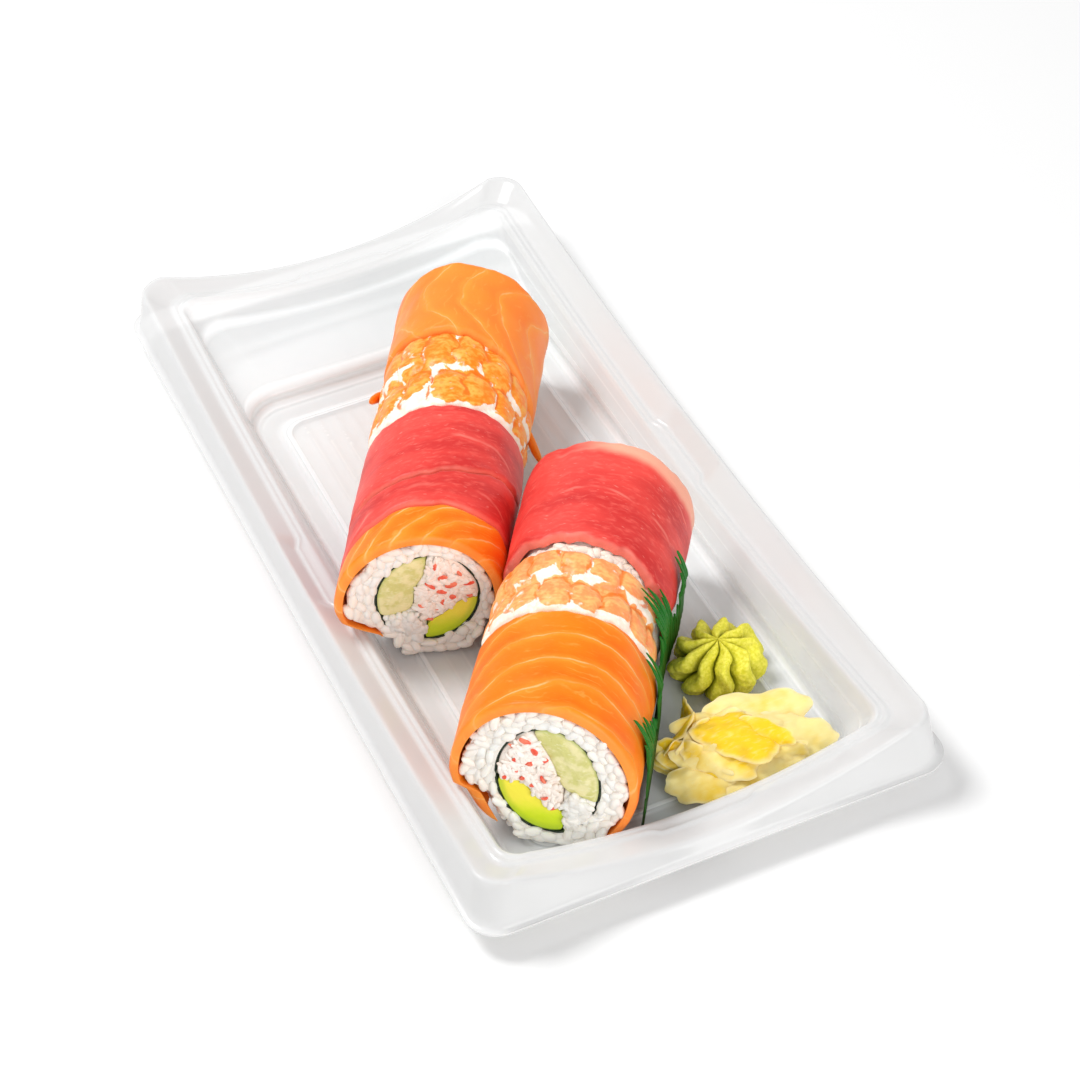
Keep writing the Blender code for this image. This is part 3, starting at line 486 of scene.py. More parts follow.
# The roll's outer section at an angle from the horizontal, pressed in where the tray's wall stands
def sectionPoint(roll, angle, offset, y):
    shift, halfWidth, taller = sectionSizes(roll, y)
    centre = sectionCentre(roll)
    z = np.maximum(centre + (roll["halfHeight"] + taller + offset) * np.sin(angle), 0.0)
    below = np.maximum(0.0, 1 - z / centre)
    x = (halfWidth + offset) * np.cos(angle) * (1 - 0.10 * below) + shift + roll["footShift"] * below
    spare = fishThick + underSlice - offset + np.where(np.asarray(offset) <= 0, 1.4, 0.0)
    heading = math.radians(roll["heading"])
    across = roll["x"] + y * math.sin(heading) + x * math.cos(heading)
    lengthwise = y * math.cos(heading) - x * math.sin(heading)
    limit = -wallHalfWidth(z + foodZ, lengthwise) + 0.4 + spare
    return x + np.maximum(0.0, limit - across) / math.cos(heading), z


def frontPlane(roll, x, z):
    return roll["front"] + roll["skew"] * x - roll["lean"] * (roll["halfHeight"] - z)


def backPlane(roll, x, z):
    return roll["back"] - 0.04 * x


def corePoint(roll, angle, inset):
    return (roll["coreShift"] + (roll["coreWidth"] - inset) * np.cos(angle),
            coreCentre(roll) + (roll["coreHeight"] - inset) * np.sin(angle))


def onTray(roll, points):  # from the roll's frame to the tray's
    points = np.asarray(points, float)
    heading = math.radians(roll["heading"])
    x, y, z = points[..., 0], points[..., 1], points[..., 2]
    return np.stack([roll["x"] + x * math.cos(heading) + y * math.sin(heading),
                     y * math.cos(heading) - x * math.sin(heading), z + foodZ], -1)


def relieve(points, faces, amount):  # push points out along the surface by an amount each
    return points + pointNormals(points, faces) * np.asarray(amount)[:, None]


# Rice

rice = {"grain": (5.3, 2.8, 2.4), "faceSpacing": 1.95, "faceTries": 2600, "sideSpacing": 2.2,
        "sideTries": 5200, "setBack": 0.45, "sink": 0.55, "endInset": 2.0, "flankWarmth": 0.5,
        "gapWarmth": 1.6}


def spread(tries, spacing, sample):  # random places no closer than a spacing
    kept = []
    for attempt in range(tries):
        spot = sample()
        if spot is None:
            continue
        near = np.array([other[0] for other in kept])
        if not kept or np.min(np.linalg.norm(near - spot[0], axis=1)) > spacing:
            kept.append(spot)
    return kept


def riceBase(roll, shape):
    around, length = 110, 46
    angle = np.linspace(0, math.tau, around, endpoint=False)
    frontX, frontZ = sectionPoint(roll, angle, -rice["sink"], np.full(around, roll["front"]))
    backX, backZ = sectionPoint(roll, angle, -rice["sink"], np.full(around, roll["back"]))
    frontY = frontPlane(roll, frontX, frontZ) + rice["setBack"]
    backY = backPlane(roll, backX, backZ) - rice["setBack"]
    coreX, coreZ = corePoint(roll, angle, 0.25)
    coreFront = frontPlane(roll, coreX, coreZ) + rice["setBack"]
    coreBack = backPlane(roll, coreX, coreZ) - rice["setBack"]
    loops = []
    for share in np.linspace(0, 1, length):
        y = frontY + (backY - frontY) * share
        x, z = sectionPoint(roll, angle, -rice["sink"], y)
        loops.append(np.stack([x, y, z], -1))
    backCore = np.stack([coreX, coreBack, coreZ], -1)
    frontCore = np.stack([coreX, coreFront, coreZ], -1)
    loops += [loops[-1] + (backCore - loops[-1]) * step / 4 for step in range(1, 5)]
    loops += [frontCore + (loops[0] - frontCore) * step / 4 for step in range(4)]
    grid = np.array(loops)
    points = grid.reshape(-1, 3)
    faces = gridFaces(len(loops), around, wrapColumns=True, wrapRows=True)
    lumps = 0.45 - cells(points, 3.1, roll["seed"])
    inner = np.zeros(len(loops), bool)
    inner[length + 3:length + 6] = True
    amount = np.where(np.repeat(inner, around), 0.0, 0.7 * lumps)
    points = relieve(points, faces, amount)
    points[:, 2] = np.maximum(points[:, 2], 0.0)
    shape.add(onTray(roll, points), faces, (0.4, 0, 0))


def addGrain(roll, shape, draw, spot, direction, normal, warmth, scale=1.0):
    size = [value * scale * draw.uniform(0.85, 1.12) for value in rice["grain"]]
    turned = onTray(roll, [spot, spot + np.asarray(direction), spot + np.asarray(normal)])
    addBlob(shape, turned[0], turned[1] - turned[0], turned[2] - turned[0], size, draw.uniform(-0.35, 0.35),
            (warmth, draw.random(), draw.random()))


def faceGrains(roll, shape, draw, face):
    plane = frontPlane if face == "front" else backPlane
    outward = -1 if face == "front" else 1
    middleZ = 18  # about the middle of the section

    def sample():
        angle = draw.uniform(0, math.tau)
        start = np.array([roll[face]])
        x0, z0 = sectionPoint(roll, angle, -0.8, start)
        x0, z0 = sectionPoint(roll, angle, -0.8, plane(roll, x0, z0))
        x1, z1 = corePoint(roll, angle, -0.5)
        room = math.hypot(x0[0] - x1, z0[0] - z1)
        outer = (x0[0] - roll["coreShift"]) * math.cos(angle) + (z0[0] - middleZ) * math.sin(angle)
        inner = (x1 - roll["coreShift"]) * math.cos(angle) + (z1 - middleZ) * math.sin(angle)
        share = draw.random() if outer > inner else 0.5
        x, z = x1 + (x0[0] - x1) * share, z1 + (z0[0] - z1) * share
        z = max(z, 1.2)
        y = plane(roll, x, z) - outward * draw.uniform(0.5, 1.1)
        return np.array([x, y, z]), angle, share, room

    for spot, angle, share, room in spread(rice["faceTries"], rice["faceSpacing"], sample):
        swing = draw.gauss(0, 0.55 if room > 3 else 0.2)
        direction = np.array([-math.sin(angle + swing), draw.uniform(-0.35, 0.35), math.cos(angle + swing)])
        if spot[2] < 2.4:
            direction = np.array([1, draw.uniform(-0.3, 0.3), draw.uniform(-0.05, 0.05)])
        scale = 1.0 if room > 2 else 0.8
        warmth = 0.25 + 0.75 * share * (spot[2] > 6)
        addGrain(roll, shape, draw, spot, direction, (0, outward, 0), warmth, scale)


def sideGrains(roll, shape, draw, angles, places, warmth):
    low, high = (math.radians(value) for value in angles)

    def sample():
        angle, y = draw.uniform(low, high), draw.uniform(*places)
        x, z = sectionPoint(roll, angle, -1.0, np.array([y]))
        if z[0] < 0.5:
            return None
        return np.array([x[0], y, max(z[0], 1.3)]), angle

    for spot, angle in spread(rice["sideTries"], rice["sideSpacing"], sample):
        normal = np.array([math.cos(angle), 0, math.sin(angle)])
        tangent = np.array([-math.sin(angle), 0, math.cos(angle)])
        turn = draw.uniform(0, math.pi)
        direction = tangent * math.sin(turn) + np.array([0, math.cos(turn), 0])
        direction = direction + normal * draw.uniform(-0.2, 0.2)
        if spot[2] < 2.6:
            direction[2] *= 0.2
        addGrain(roll, shape, draw, spot, direction, normal, warmth)


# Flanks are the bare strips under the slices, and gaps the bare bands between two of them
def makeRice(roll, flanks, gaps):
    draw = random.Random(roll["seed"])
    shape = Shape()
    riceBase(roll, shape)
    faceGrains(roll, shape, draw, "front")
    faceGrains(roll, shape, draw, "back")
    flankPlaces = (roll["front"] + rice["endInset"], roll["back"] - rice["endInset"])
    for angles in flanks:
        sideGrains(roll, shape, draw, angles, flankPlaces, rice["flankWarmth"])
    for angles, places in gaps:
        sideGrains(roll, shape, draw, angles, places, rice["gapWarmth"])
    makePiece("riceBed_" + roll["name"], shape, "rice_" + roll["name"], riceFinish)


def makeRiceFinish():
    pearl = Finish("cookedRice", roughness=0.36, specular=0.45, scatter=0.25, scatterSize=0.002,
                   scatterReach=(1.0, 0.7, 0.5))
    warm = pearl.mark("place", "X")
    each = pearl.mark("place", "Y")
    pale = pearl.mix(each, (0.98, 0.90, 0.80), (1.0, 0.96, 0.89))
    blush = pearl.mix(warm.step(0.45, 1.1) * 0.5, pale, (1.0, 0.76, 0.62))
    blush = pearl.mix(warm.step(1.2, 1.8), blush, (0.98, 0.78, 0.64))
    cloud = pearl.grain(1.6, 3)
    return pearl.done(color=pearl.mix(cloud.step(0.4, 0.75) * 0.35, blush, (0.95, 0.93, 0.88)),
                      roughness=0.28 + 0.25 * cloud, normal=pearl.bump(pearl.grain(0.7, 2), 0.15, 0.5))


riceFinish = makeRiceFinish()
makeRice(leftRoll, [(-64, -30), (208, 244)], [])
makeRice(rightRoll, [(-64, -12), (206, 244)], [((-16, 210), (-68.2, -64.6))])


# Seaweed

def makeNori(roll):
    around, length = 200, 12
    angle = np.linspace(0, math.tau, around, endpoint=False)
    shape = Shape()
    outer, inner = [], []
    for step in range(length + 1):
        share = step / length
        share = share ** 2 if share < 0.5 else share
        for inset, loops in ((gap, outer), (gap + noriThick, inner)):
            x, z = corePoint(roll, angle, inset)
            front = frontPlane(roll, x, z) + 0.75 + 0.35 * np.sin(7 * angle + 1) * np.sin(3 * angle)
            back = backPlane(roll, x, z) - 0.5 - 0.3 * np.sin(6 * angle)
            loops.append(np.stack([x, front + (back - front) * share, z], -1))
    grid = np.array(outer + inner[::-1])
    wobble = 0.10 * roughness(grid, 2.2, roll["seed"])
    middle = np.array([roll["coreShift"], 0, coreCentre(roll)])
    reach = grid - middle
    reach[..., 1] = 0
    grid = grid + reach / np.linalg.norm(reach, axis=-1, keepdims=True) * wobble[..., None]
    shape.add(onTray(roll, grid), gridFaces(len(grid), around, wrapColumns=True, wrapRows=True))
    makePiece("noriSheet_" + roll["name"], shape, "nori_" + roll["name"], noriFinish)


def makeNoriFinish():
    weed = Finish("driedSeaweed", roughness=0.5, specular=0.4)
    fibre = weed.grain(0.9, 4)
    return weed.done(color=weed.mix(fibre.step(0.35, 0.7), (0.010, 0.022, 0.012), (0.035, 0.055, 0.025)),
                     roughness=0.35 + 0.3 * fibre, normal=weed.bump(fibre, 0.3, 0.8))


noriFinish = makeNoriFinish()
makeNori(leftRoll)
makeNori(rightRoll)


# Fillings

leftUpper, leftLower = (-0.30, -0.20), (-0.05, -0.60)
rightUpper, rightLower = (0.28, -0.14), (0.32, -0.60)
fillings = [
    {"name": "cucumber_left", "roll": leftRoll, "arc": (88, 198), "kind": "cucumber",
     "inside": [(-0.60, -0.32), leftUpper, (-0.25, 0.25), (0.0, 0.62)]},
    {"name": "inner_rice_left", "roll": leftRoll, "arc": (198, 262), "kind": "rice",
     "inside": [leftLower, leftUpper, (-0.60, -0.32)]},
    {"name": "avocado_left", "roll": leftRoll, "arc": (262, 354), "kind": "avocado",
     "inside": [(0.60, -0.16), (0.32, -0.42), leftLower]},
    {"name": "crab_left", "roll": leftRoll, "arc": (-6, 88), "kind": "crab",
     "inside": [(0.0, 0.62), (-0.25, 0.25), leftUpper, leftLower, (0.32, -0.42), (0.60, -0.16)]},
    {"name": "cucumber_right", "roll": rightRoll, "arc": (-18, 107), "kind": "cucumber",
     "inside": [(0.10, 0.40), rightUpper, (0.85, -0.30)]},
    {"name": "crab_right", "roll": rightRoll, "arc": (107, 182), "kind": "crab",
     "inside": [(-0.50, -0.07), (-0.17, -0.42), rightLower, rightUpper, (0.10, 0.40)]},
    {"name": "avocado_right", "roll": rightRoll, "arc": (182, 285), "kind": "avocado",
     "inside": [(0.30, -0.80), rightLower, (-0.17, -0.42), (-0.50, -0.07)]},
    {"name": "inner_rice_right", "roll": rightRoll, "arc": (285, 342), "kind": "rice",
     "inside": [(0.85, -0.30), rightUpper, rightLower, (0.30, -0.80)]},
]
crown = {"crab": 1.2, "rice": 0.9, "cucumber": 0.45, "avocado": 0.4}
outlinePoints = 120
shreds = {
    "crab": {"count": 150, "size": (3.8, 1.6, 1.3), "keepOff": 1.2},
    "chips": {"count": 13, "size": (3.0, 1.5, 0.9), "keepOff": 1.3, "tint": (1, 0, 0), "apart": 2.9},
    "rice": {"count": 46, "size": rice["grain"], "keepOff": 1.5},
}


def drawIn(points, amount):  # move each edge of a closed outline inwards
    before = points - np.roll(points, 1, axis=0)
    after = np.roll(points, -1, axis=0) - points
    before /= np.linalg.norm(before, axis=1, keepdims=True)
    after /= np.linalg.norm(after, axis=1, keepdims=True)
    turnBefore, turnAfter = before[:, ::-1] * (-1, 1), after[:, ::-1] * (-1, 1)
    mitre = turnBefore + turnAfter
    mitre /= np.linalg.norm(mitre, axis=1, keepdims=True)
    return points + mitre * (amount / np.maximum((mitre * turnAfter).sum(axis=1), 0.45))[:, None]


def fillingOutline(filling):
    roll = filling["roll"]
    start, end = filling["arc"]
    angle = np.radians(np.linspace(start, end, max(5, round((end - start) / 14) + 1)))
    inset = gap + noriThick
    unit = np.concatenate([np.stack([np.cos(angle), np.sin(angle)], -1), np.array(filling["inside"])])
    points = unit * (roll["coreWidth"] - inset, roll["coreHeight"] - inset)
    points = points + (roll["coreShift"], coreCentre(roll))
    points = drawIn(points, 0.1)
    for rounding in range(2):
        after = np.roll(points, -1, axis=0)
        points = np.stack([0.8 * points + 0.2 * after, 0.2 * points + 0.8 * after], 1).reshape(-1, 2)
    closed = np.concatenate([points, points[:1]])
    run = np.concatenate([[0], np.cumsum(np.linalg.norm(np.diff(closed, axis=0), axis=1))])
    spots = np.linspace(0, run[-1], outlinePoints, endpoint=False)
    return np.stack([np.interp(spots, run, closed[:, 0]), np.interp(spots, run, closed[:, 1])], -1)


def edgeDistance(points, outline):
    start, end = outline, np.roll(outline, -1, axis=0)
    run = end - start
    offset = points[:, None] - start[None]
    share = np.clip((offset * run).sum(-1) / (run * run).sum(-1), 0, 1)
    return np.linalg.norm(offset - run * share[..., None], axis=-1).min(axis=1)


def isInside(x, z, outline):
    after = np.roll(outline, -1, axis=0)
    crosses = (outline[:, 1] > z) != (after[:, 1] > z)
    run, rise = (after - outline).T
    reach = run * (z - outline[:, 1]) / (rise + 1e-9) + outline[:, 0]
    return np.count_nonzero(crosses & (x < reach)) % 2 == 1


def cutFace(filling, flat, outline, end):  # place along the roll of the filling's cut face
    roll = filling["roll"]
    rise = crown[filling["kind"]] * (1 - np.exp(-edgeDistance(flat, outline) / 1.5))
    if end == "front":
        return frontPlane(roll, flat[:, 0], flat[:, 1]) + 0.8 - rise
    return backPlane(roll, flat[:, 0], flat[:, 1]) - 0.8 + rise


def faceRelief(filling, points, depth):
    kind, seed = filling["kind"], filling["roll"]["seed"]
    inside = smooth(0.0, 1.0, depth)
    if kind == "crab":
        return inside * (0.4 * (0.5 - cells(points, 2.0, seed)) + 0.15 * roughness(points, 0.8, seed))
    if kind == "rice":
        return inside * 0.8 * (0.5 - cells(points, 2.8, seed))
    if kind == "cucumber":
        return inside * (0.22 * roughness(points, 2.4, seed) + 0.12 * roughness(points, 0.9, seed))
    return inside * (0.10 * roughness(points, 3.5, seed) + 0.03 * roughness(points, 0.7, seed))


def makeFilling(filling):
    roll, kind = filling["roll"], filling["kind"]
    outline = fillingOutline(filling)
    middle = outline.mean(axis=0)
    shares = [0.0, 0.07, 0.15, 0.24, 0.33, 0.42, 0.51, 0.60, 0.68, 0.76, 0.83, 0.89, 0.94, 0.98, 1.0]
    loops, marks = [], []
    for end, order in (("front", shares), ("back", shares[::-1])):
        for share in order:
            flat = middle + (outline - middle) * share
            depth = edgeDistance(flat, outline)
            y = cutFace(filling, flat, outline, end)
            points = np.stack([flat[:, 0], y, flat[:, 1]], -1)
            relief = faceRelief(filling, points, depth)
            points[:, 1] += -relief if end == "front" else relief
            loops.append(points)
            toRing = np.hypot((flat[:, 0] - roll["coreShift"]) / roll["coreWidth"],
                              (flat[:, 1] - coreCentre(roll)) / roll["coreHeight"])
            # marks: how far in from its outline and from the seaweed, and the height
            edge = 0.3 + 0 * depth if kind == "rice" else depth
            marks.append(np.stack([edge, (1 - toRing) * 14, flat[:, 1] - middle[1]], -1))
    shape = Shape()
    shape.add(onTray(roll, np.array(loops)), gridFaces(len(loops), outlinePoints, wrapColumns=True),
              np.array(marks).reshape(-1, 3))
    draw = random.Random(filling["name"])
    if kind == "crab":
        addShreds(filling, outline, shape, draw, **shreds["crab"])
        addShreds(filling, outline, shape, draw, **shreds["chips"])
    if kind == "rice":
        addShreds(filling, outline, shape, draw, **shreds["rice"])
    makePiece("filling_" + filling["name"], shape, filling["name"], fillingFinish[kind])


# Shreds, chips or grains lying in the cut faces of a filling
def addShreds(filling, outline, shape, draw, count, size, keepOff, tint=(0, 0, 0), apart=0.0):
    roll = filling["roll"]
    low, high = outline.min(axis=0), outline.max(axis=0)
    for end, outward in (("front", -1), ("back", 1)):
        placed, taken = 0, []
        for attempt in range(count * 20):
            x, z = draw.uniform(low[0], high[0]), draw.uniform(low[1], high[1])
            if placed == count or not isInside(x, z, outline):
                continue
            flat = np.array([[x, z]])
            if edgeDistance(flat, outline)[0] < keepOff * draw.uniform(0.7, 1.0):
                continue
            if taken and min(math.hypot(x - other[0], z - other[1]) for other in taken) < apart:
                continue
            placed += 1
            taken.append((x, z))
            proud = draw.uniform(-0.15, 0.35) + 0.45 * tint[0]  # red chips stand out more
            y = cutFace(filling, flat, outline, end)[0] + outward * proud
            turn = draw.uniform(0, math.pi)
            direction = np.array([math.cos(turn), draw.uniform(-0.3, 0.3), math.sin(turn)])
            spot = np.array([x, y, z])
            turned = onTray(roll, [spot, spot + direction, spot + np.array([0, outward, 0])])
            scaled = [value * draw.uniform(0.6, 1.25) for value in size]
            addBlob(shape, turned[0], turned[1] - turned[0], turned[2] - turned[0], scaled,
                    draw.uniform(-0.4, 0.4), (0.3, draw.random(), 0.0), tint)


def makeCrabFinish():
    meat = Finish("crabSalad", roughness=0.5, specular=0.35)
    red = meat.mark("tint", "X")
    each = meat.mark("place", "Y")
    white = meat.mix(each.fraction(), (0.95, 0.83, 0.74), (1.0, 0.94, 0.88))
    shade = meat.grain(2.2, 3)
    flesh = meat.mix(shade.step(0.5, 0.8) * 0.3, white, (1.0, 0.76, 0.67))
    chip = meat.mix(shade.step(0.35, 0.65), (0.86, 0.085, 0.045), (0.92, 0.25, 0.15))
    return meat.done(color=meat.mix(red.step(0.4, 0.6), flesh, chip),
                     roughness=0.40 + 0.2 * shade, normal=meat.bump(meat.grain(0.5, 3), 0.2, 0.6))


def makeCucumberFinish():
    flesh = Finish("cucumberFlesh", roughness=0.3, specular=0.5)
    rim = flesh.mark("place", "Y")
    cloud = flesh.grain(3.2, 3)
    streak = flesh.grain(1.3, 2, stretch=(1.0, 0.4, 2.2))
    body = flesh.mix(cloud.step(0.38, 0.62), (0.66, 0.63, 0.22), (0.84, 0.77, 0.40))
    body = flesh.mix(streak.step(0.55, 0.75) * 0.5, body, (0.90, 0.86, 0.58))
    edge = flesh.mark("place", "X")
    body = flesh.mix((1 - edge.step(0.0, 0.6)) * 0.35, body, (0.52, 0.54, 0.16))
    return flesh.done(color=flesh.mix((1 - rim.step(0.9, 1.8)) * 0.5, body, (0.34, 0.44, 0.08)),
                      roughness=0.22 + 0.2 * cloud, normal=flesh.bump(streak, 0.3, 0.5))


def makeAvocadoFinish():
    fruit = Finish("avocadoFlesh", roughness=0.38, specular=0.45)
    rim, height = fruit.mark("place", "Y"), fruit.mark("place", "Z")
    cloud = fruit.grain(4.0, 2)
    body = fruit.mix((height + 4.0 * (cloud - 0.5)).step(-3.5, 3.0), (0.64, 0.80, 0.006), (1.0, 0.88, 0.07))
    body = fruit.mix((1 - rim.step(1.6, 3.4)) * 0.6, body, (0.42, 0.62, 0.006))
    return fruit.done(color=fruit.mix(1 - rim.step(0.9, 1.35), body, (0.10, 0.20, 0.01)),
                      roughness=0.30 + 0.15 * cloud, normal=fruit.bump(fruit.grain(1.1, 3), 0.15, 0.4))


fillingFinish = {"crab": makeCrabFinish(), "rice": riceFinish,
                 "cucumber": makeCucumberFinish(), "avocado": makeAvocadoFinish()}
for filling in fillings:
    makeFilling(filling)


# Slices of fish and prawn

# Edges across the rolls: place along the roll, skew, and bend
edges = {
    "leftEnd": (77.4, -0.04, 0.0),
    "leftSalmonPrawn": (48.0, -0.22, -0.010),
    "leftPrawnTuna": (16.6, 0.17, 0.0),
    "leftTunaSeam": (-11.2, 0.45, 0.008),
    "leftTunaSalmon": (-23.6, 0.38, -0.0074),
    "rightEnd": (-27.0, -0.04, 0.0),
    "rightTunaEdge": (-64.4, -0.06, 0.0),
    "rightPrawnEdge": (-68.4, -0.02, 0.0),
    "rightPrawnSalmon": (-90.6, 0.03, 0.0),
}
# "ends" are the angles of a slice's two ends round the roll. A slice with no front edge starts at the
# roll's face.
slices = [
    {"name": "salmon_left_back", "kind": "salmon", "roll": leftRoll,
     "front": "leftSalmonPrawn", "back": "leftEnd", "ends": (-36, 210),
     "lines": {"slant": 0, "spacing": 11.0, "bend": 0.040, "across": 2.0, "warp": 2.6, "pale": 0.30}},
    {"name": "prawn_left", "kind": "prawn", "roll": leftRoll,
     "front": "leftPrawnTuna", "back": "leftSalmonPrawn", "ends": (-32, 206),
     "lumps": {"rows": 2, "count": 9.6, "orange": 1.0}},
    {"name": "tuna_left_back", "kind": "tuna", "roll": leftRoll,
     "front": "leftTunaSeam", "back": "leftPrawnTuna", "ends": (-28, 212)},
    {"name": "tuna_left_front", "kind": "tuna", "roll": leftRoll,
     "front": "leftTunaSalmon", "back": "leftTunaSeam", "ends": (-26, 210)},
    {"name": "salmon_left_front", "kind": "salmon", "roll": leftRoll,
     "front": None, "back": "leftTunaSalmon", "ends": (-22, 206),
     "lines": {"slant": 50, "spacing": 5.8, "bend": 0.008, "across": 0.0, "warp": 1.4, "pale": 0.0}},
    {"name": "tuna_right", "kind": "tuna", "roll": rightRoll,
     "front": "rightTunaEdge", "back": "rightEnd", "ends": (-14, 208)},
    {"name": "prawn_right", "kind": "prawn", "roll": rightRoll,
     "front": "rightPrawnSalmon", "back": "rightPrawnEdge", "ends": (-28, 206),
     "lumps": {"rows": 2, "count": 10.8, "orange": 0.74}},
    {"name": "salmon_right", "kind": "salmon", "roll": rightRoll,
     "front": None, "back": "rightPrawnSalmon", "ends": (-42, 218),
     "lines": {"slant": 76, "spacing": 8.4, "bend": 0.011, "across": -3.0, "warp": 1.7, "pale": 0.0}},
]
wrapRadius = 20.5  # unrolls a slice round its roll into a flat strip
edgeRadius = 20
# The left prawns' tail pieces: root and point in the roll's frame, and half width
tailTips = [((21.3, 34.0, 15.5), (24.3, 29.0, 11.5), 1.9), ((-21.2, 45.0, 18.5), (-23.2, 38.0, 22.5), 1.6)]


def edgePlace(cut, side, angle, way):
    roll = cut["roll"]
    if cut[side] is None:
        x, z = sectionPoint(roll, angle, underSlice, np.full(angle.shape, roll["front"]))
        return frontPlane(roll, x, z) - 0.4
    place, skew, bend = edges[cut[side]]
    x = edgeRadius * np.cos(angle)
    spots = np.stack([angle * edgeRadius, place + 0 * angle, 0 * angle], -1)
    ragged = 2.2 if cut[side] == "rightTunaEdge" else 1.0
    uneven = ragged * (1.1 * roughness(spots, 8, 1) + 0.5 * roughness(spots, 2.2, 2))
    return place + skew * x + bend * x * x + 0.5 * np.sin(3.1 * angle + place) + uneven + way * 0.3 * gap


def lumpRelief(cut, across, along, points):
    spec = cut["lumps"]
    wobble = 0.045 * roughness(points, 3.2, 5)
    wobbleAlong = 0.06 * roughness(points, 2.6, 9)
    draw = random.Random(cut["name"])
    relief = np.zeros(across.shape)
    patch = np.zeros(across.shape)
    seam = np.zeros(across.shape)
    for row in range(spec["rows"]):
        middle = (row + 0.5) / spec["rows"]
        for index in range(int(spec["count"]) + 2):
            place = (index - 0.2 + 0.5 * (row % 2) + draw.uniform(-0.1, 0.1)) / spec["count"]
            side = (across + wobble * 0.6 - place) * spec["count"] / (0.55 + draw.uniform(-0.04, 0.06))
            deep = (along + wobbleAlong * 0.7 - middle - draw.uniform(-0.03, 0.03)) * spec["rows"] / 0.53
            reach = (np.abs(side) ** 2.7 + np.abs(deep) ** 2.7) ** (1 / 2.7)
            relief = np.maximum(relief, np.clip(1 - reach ** 2.4, 0, 1) ** 0.7)
            tone = draw.uniform(0.75, 1.0)
            below, beside = draw.uniform(0.10, 0.58), draw.uniform(-0.20, 0.32)
            skewed = (np.abs(side - beside) ** 3.0 + np.abs(deep - below) ** 3.0) ** (1 / 3.0)
            patch = np.maximum(patch, tone * (1 - smooth(0.82, 1.04, skewed)))
            seam = np.maximum(seam, bell(reach - 0.92, 0.12) * smooth(-0.5, 0.4, deep + 0.6 * side) * tone)
    return relief, patch, seam


def makeSlice(cut):
    roll, kind = cut["roll"], cut["kind"]
    columns, rows = 144, 50
    across = np.linspace(0, 1, columns)[:, None] + np.zeros((1, rows))
    linear = np.linspace(0, 1, rows)
    along = (0.35 * linear + 0.65 * (0.5 - 0.5 * np.cos(math.pi * linear)))[None, :] + np.zeros((columns, 1))
    start, end = (math.radians(value) for value in cut["ends"])
    angle = start + (end - start) * across
    front, back = edgePlace(cut, "front", angle, 1), edgePlace(cut, "back", angle, -1)
    width = back - front
    taper = 0.0
    if kind == "prawn":
        taper = 0.30 * np.maximum(0, 1 - 7 * across) + 0.22 * np.maximum(0, 1 - 7 * (1 - across))
    y = front + width * (0.5 + (along - 0.5) * (1 - taper))
    roundWay = (angle - math.pi / 2) * wrapRadius
    flat = np.stack([roundWay, y, np.zeros_like(y)], -1)
    edge = np.minimum(along, 1 - along) * width
    tip = np.minimum(across, 1 - across) * (end - start) * wrapRadius
    lip = np.sqrt(np.clip(1 - (1 - np.minimum(edge / 1.7, 1)) ** 2, 0, 1))
    tipLip = np.sqrt(np.clip(1 - (1 - np.minimum(tip / 5.0, 1)) ** 2, 0, 1))
    rounding = (0.16 + 0.84 * lip) * (0.12 + 0.88 * tipLip)
    seed = roll["seed"] + len(cut["name"])
    tint = np.zeros(flat.shape)
    if kind == "prawn":
        relief, patch, seam = lumpRelief(cut, across, along, flat)
        groove = 1 - 0.25 * bell(along - 0.5, 0.06)
        thick = fishThick * rounding * (0.42 + 0.62 * relief) * groove
        tint[..., 0], tint[..., 1] = patch, seam
    else:
        swell = 0.16 * roughness(flat, 11, seed) + 0.05 * roughness(flat, 4, seed)
        thick = fishThick * rounding * (0.92 + swell)
    thick = np.clip(thick, 0.14 * fishThick, 1.06 * fishThick)
    overX, overZ = sectionPoint(roll, angle, underSlice + thick, y)
    underX, underZ = sectionPoint(roll, angle, underSlice, y)
    place = np.stack([roundWay, y - 0.5 * (front + back), edge], -1)
    shape = Shape()
    over = onTray(roll, np.stack([overX, y, overZ], -1))
    under = onTray(roll, np.stack([underX, y, underZ], -1))
    shape.sheet(over, under, place, tint)
    if cut["name"] == "prawn_left":
        for root, point, half in tailTips:
            length = np.linalg.norm(np.subtract(point, root))
            centre = onTray(roll, (np.array(root) + point) * 0.5)
            ends = onTray(roll, [root, point])
            size = (1.5 * length, 1.2 * half, 2 * half)
            addBlob(shape, centre, ends[1] - ends[0], (0, 0, 1), size, 0.4, (0, 0, 2), (0.9, 0.5, 0.6))
    finish = {"salmon": salmonFinish, "tuna": tunaFinish, "prawn": prawnFinish}[kind](cut)
    makePiece("slice_" + cut["name"], shape, cut["name"], finish)


